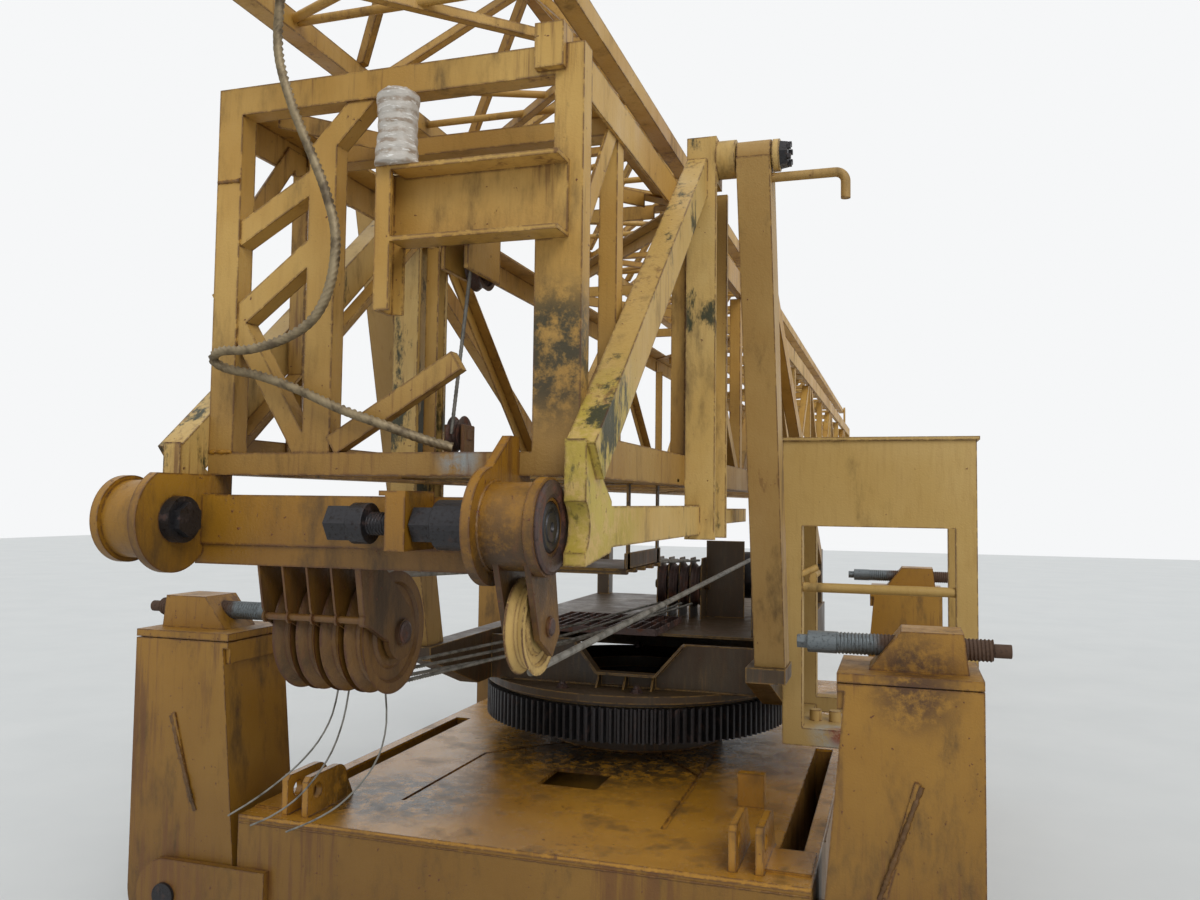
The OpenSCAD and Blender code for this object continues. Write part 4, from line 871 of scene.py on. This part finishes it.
class CRANE_OT_fittings(bpy.types.Operator):
    """Add the tray under the tower, the walkway plate, the lower guide sheave and the lever"""

    bl_idname = "crane.fittings"
    bl_label = "Fittings"

    def execute(self, context):
        self.tray()
        self.walkway()
        self.guide()
        self.post_heads()
        self.lever()
        return {"FINISHED"}

    def tray(self):
        """A shallow trough of folded sheet under the tower, with ribs across it and four hangers."""
        work = bmesh.new()
        x0, x1, z0 = TOWER_X + 0.066, TOWER_X + 0.304, 1.40
        y0, y1 = -1.52, -1.1
        slab(work, (x0, y0, z0), (x1, y1, z0 + 0.006))
        slab(work, (x0, y0, z0), (x0 + 0.005, y1, z0 + 0.05))
        slab(work, (x1 - 0.005, y0, z0), (x1, y1, z0 + 0.05))
        for i in range(5):
            y = y0 + 0.1 * i
            slab(work, (x0 - 0.004, y, z0 - 0.012), (x1 + 0.004, y + 0.02, z0 + 0.001))
        top = lo("tower_bottom").z + 0.004
        for x in (x0, x1 - 0.006):
            for y in (y0 + 0.02, y1 - 0.05):
                slab(work, (x, y, z0 + 0.002), (x + 0.006, y + 0.03, top))
        for y in (y0 + 0.02, y1 - 0.05):
            slab(work, (TOWER_X - 0.45, y, top - 0.006), (TOWER_X + 0.45, y + 0.03, top + 0.006))
        shaped("cable_tray", work, "tower", "grease_and_shade")

    def walkway(self):
        """Bars of the grating on the platform's front bay."""
        work = bmesh.new()
        x0, x1 = TOWER_X - 0.40, TOWER_X + 0.12
        y0, y1 = -0.42, 0.05
        z = seat("platform_frame", (x0 + 0.1, -0.327, 2.0), (0, 0, -1)).z - 0.0005
        for i in range(14):
            x = x0 + (x1 - x0) * i / 13
            slab(work, (x - 0.0025, y0, z), (x + 0.0025, y1, z + 0.028), 0.001)
        for y in (y0, (y0 + y1) / 2, y1):
            slab(work, (x0, y - 0.003, z), (x1, y + 0.003, z + 0.027), 0.001)
        shaped("grating", work, "platform", "rust")

    def guide(self):
        """Second guide sheave over the bottom beam, with its two ears and the rope that runs down to it."""
        centre = Vector((TOWER_X + 0.12, -2.25, 1.745))
        lathe("lower_guide_sheave", [(0.012, -0.011), (0.038, -0.013), (0.043, -0.013), (0.034, -0.004),
                                     (0.034, 0.004), (0.043, 0.013), (0.038, 0.013), (0.012, 0.011)],
              centre, "tower", "rust")
        work = bmesh.new()
        for side in (-1, 1):
            x = centre.x + side * 0.02
            slab(work, (x - 0.004, centre.y - 0.03, 1.66), (x + 0.004, centre.y + 0.03, centre.z + 0.022))
            beam = seat("end_frame", (x, centre.y, 1.675), (0, -1, 0))
            slab(work, (x - 0.004, beam.y - 0.0015, 1.656), (x + 0.004, centre.y + 0.02, 1.696))
        slab(work, (centre.x - 0.026, centre.y - 0.0125, centre.z - 0.0125),
             (centre.x + 0.026, centre.y + 0.0125, centre.z + 0.0125))
        shaped("lower_guide_ears", work, "tower", "block")
        upper = (lo("guide_sheave") + hi("guide_sheave")) / 2
        reach = (hi("guide_sheave").z - lo("guide_sheave").z) / 2
        line = [upper + Vector((0, -reach * 0.9, 0)), centre + Vector((0, -0.041, 0.0))]
        points = [line[0].lerp(line[1], t / 12) for t in range(13)]
        grown("guide_rope", lines_mesh("guide_line", [points]), "rope", "tower", "rope",
              radius=0.0045, lay=0.06, step=0.006)

    def post_heads(self):
        """Castellated nuts and washers on the pivot stubs."""
        for side, name in ((1, "right"), (-1, "left")):
            node = "foot_frame_r" if side > 0 else "foot_frame_l"
            x = hi(node).x if side > 0 else lo(node).x
            work = bmesh.new()
            y, z = PIVOT_AXIS
            turn = Matrix.Translation((x + side * 0.012, y, z)) @ Matrix.Rotation(math.pi / 2, 4, "Y")
            bmesh.ops.create_cone(work, cap_ends=True, segments=6, radius1=0.042, radius2=0.038,
                                  depth=0.024, matrix=turn)
            for i in range(6):
                a = math.tau * i / 6 + 0.52
                centre = Vector((x + side * 0.028, y + 0.03 * math.cos(a), z + 0.03 * math.sin(a)))
                slab(work, centre - Vector((0.006, 0.007, 0.007)), centre + Vector((0.006, 0.007, 0.007)), 0.001)
            shaped("pivot_nut_" + name, work, "tower", "steel")

    def lever(self):
        """Short pale handle inside the cage's front opening."""
        a = Vector((TOWER_X + 0.70, -0.66, 1.336))
        b = Vector((TOWER_X + 0.775, -0.63, 1.371))
        line = [a.lerp(b, t / 4) for t in range(5)]
        grown("cage_handle", lines_mesh("handle_line", [line]), "bars", "platform", "cage", smooth=True,
              radius=0.012)


class CRANE_OT_lacing(bpy.types.Operator):
    """Add the thin bars across the jib, finer than its solids"""

    bl_idname = "crane.lacing"
    bl_label = "Fine lacing"

    def execute(self, context):
        low, high = lo("jib_bottom"), hi("jib_bottom")
        z = low.z + 0.03
        half = (high.x - low.x) / 2 - 0.03
        middle = (high.x + low.x) / 2
        bays = 16
        lines = []
        for i in range(bays):
            y0 = low.y + (high.y - low.y) * i / bays + 0.04
            y1 = low.y + (high.y - low.y) * (i + 0.5) / bays
            side = 1 if i % 2 else -1
            lines.append([(middle - side * half, y0, z), (middle + side * half, y1, z)])
            lines.append([(middle - half, y1, z), (middle + half, y1, z)])
        grown("jib_fine_bars", lines_mesh("jib_fine_lines", lines), "bars", "jib", "ochre", smooth=True,
              radius=0.011)
        return {"FINISHED"}


class CRANE_OT_finishes(bpy.types.Operator):
    """Give every solid of the crane its finish"""

    bl_idname = "crane.finishes"
    bl_label = "Finishes"

    def execute(self, context):
        for part in frame["record"]["subparts"]:
            name = part["node"]
            finish = FINISH_OF_NODE.get(name, FINISH_OF_SLOT[part["material_slot"]])
            mesh = frame["nodes"][name].data
            mesh.materials.clear()
            mesh.materials.append(FINISHES[finish])
        return {"FINISHED"}


class CRANE_OT_stage(bpy.types.Operator):
    """Set the floor, the sky, the lamps and the camera"""

    bl_idname = "crane.stage"
    bl_label = "Stage"

    def execute(self, context):
        sizes = context.scene.crane
        scene = context.scene
        scene.view_settings.view_transform = "Standard"
        self.make_floor(sizes.floor)
        self.make_sky(scene, sizes.sky)
        self.make_lamp("key_lamp", (6.0, -7.0, 9.0), 1.25)
        self.make_camera(scene)
        return {"FINISHED"}

    def make_floor(self, side):
        mesh = bpy.data.meshes.new("floor")
        half = side / 2
        corners = [(-half, -half, 0), (half, -half, 0), (half, half, 0), (-half, half, 0)]
        mesh.from_pydata(corners, [], [(0, 1, 2, 3)])
        floor = placed("floor", mesh)
        material, tree, place = new_material("pale_plaster_floor")
        cloud = noise(tree, place, 0.8, detail=3.0, seed=5.0)
        base = mixed(tree, cloud, linear("#c9cbca"), linear("#d6d7d5"))
        close_material(tree, base, 0.7, cloud, 0.001)
        mesh.materials.append(material)

    def make_sky(self, scene, strength):
        world = bpy.data.worlds.new("overcast_sky")
        scene.world = world
        world.use_nodes = True
        tree = world.node_tree
        tree.nodes.clear()
        path = add(tree, "ShaderNodeLightPath")
        seen = path.outputs["Is Camera Ray"]
        for ray in ("Is Glossy Ray", "Is Transmission Ray"):
            either = {0: seen, 1: path.outputs[ray]}
            seen = add(tree, "ShaderNodeMath", either, operation="MAXIMUM").outputs[0]
        lit = add(tree, "ShaderNodeBackground", {"Color": linear("#eef1f4"), "Strength": strength})
        white = add(tree, "ShaderNodeBackground", {"Color": linear("#f6f7f8"), "Strength": 1.0})
        both = add(tree, "ShaderNodeMixShader", {0: seen, 1: lit.outputs[0], 2: white.outputs[0]})
        add(tree, "ShaderNodeOutputWorld", {"Surface": both.outputs[0]})

    def make_lamp(self, name, at, strength):
        """A wide, even lamp like a bright patch of cloud, so that the far end is lit as the near one."""
        lamp = bpy.data.lights.new(name, "SUN")
        lamp.angle = math.radians(30)
        lamp.energy = strength
        made = placed(name, lamp)
        made.location = at
        made.rotation_euler = (Vector((0, 0, 1.5)) - Vector(at)).to_track_quat("-Z", "Y").to_euler()

    def make_camera(self, scene):
        data = bpy.data.cameras.new("camera")
        data.sensor_width = 36.0
        data.lens = 36.0 * FOCAL_PX / IMAGE_W
        data.clip_end = 200.0
        camera = placed("camera", data)
        turn = Matrix.Rotation(math.radians(CAMERA_YAW), 4, "Z")
        tilt = Matrix.Rotation(math.radians(90 + CAMERA_PITCH), 4, "X")
        roll = Matrix.Rotation(math.radians(CAMERA_ROLL), 4, "Z")
        camera.matrix_world = Matrix.Translation(CAMERA_AT) @ turn @ tilt @ roll
        scene.camera = camera


class CRANE_PT_panel(bpy.types.Panel):
    """The crane's pieces, in the 3D view's sidebar"""

    bl_idname = "CRANE_PT_panel"
    bl_label = "Folded tower crane"
    bl_space_type = "VIEW_3D"
    bl_region_type = "UI"
    bl_category = "Crane"

    def draw(self, context):
        for step in STEPS:
            self.layout.operator(step.bl_idname)


STEPS = (CRANE_OT_stage, CRANE_OT_ropes, CRANE_OT_screws, CRANE_OT_bolts, CRANE_OT_welds, CRANE_OT_wrap,
         CRANE_OT_fittings, CRANE_OT_lacing, CRANE_OT_finishes)
CLASSES = (CraneSizes, *STEPS, CRANE_PT_panel)


def register():
    for cls in CLASSES:
        bpy.utils.register_class(cls)
    bpy.types.Scene.crane = bpy.props.PointerProperty(type=CraneSizes)


def unregister():
    del bpy.types.Scene.crane
    for cls in reversed(CLASSES):
        bpy.utils.unregister_class(cls)


def main():
    """Make every piece in order."""
    register()
    bpy.ops.crane.stage()
    bpy.ops.crane.ropes()
    bpy.ops.crane.screws()
    bpy.ops.crane.bolts()
    bpy.ops.crane.welds()
    bpy.ops.crane.wrap()
    bpy.ops.crane.fittings()
    bpy.ops.crane.lacing()
    bpy.ops.crane.finishes()


if __name__ == "__main__":
    main()
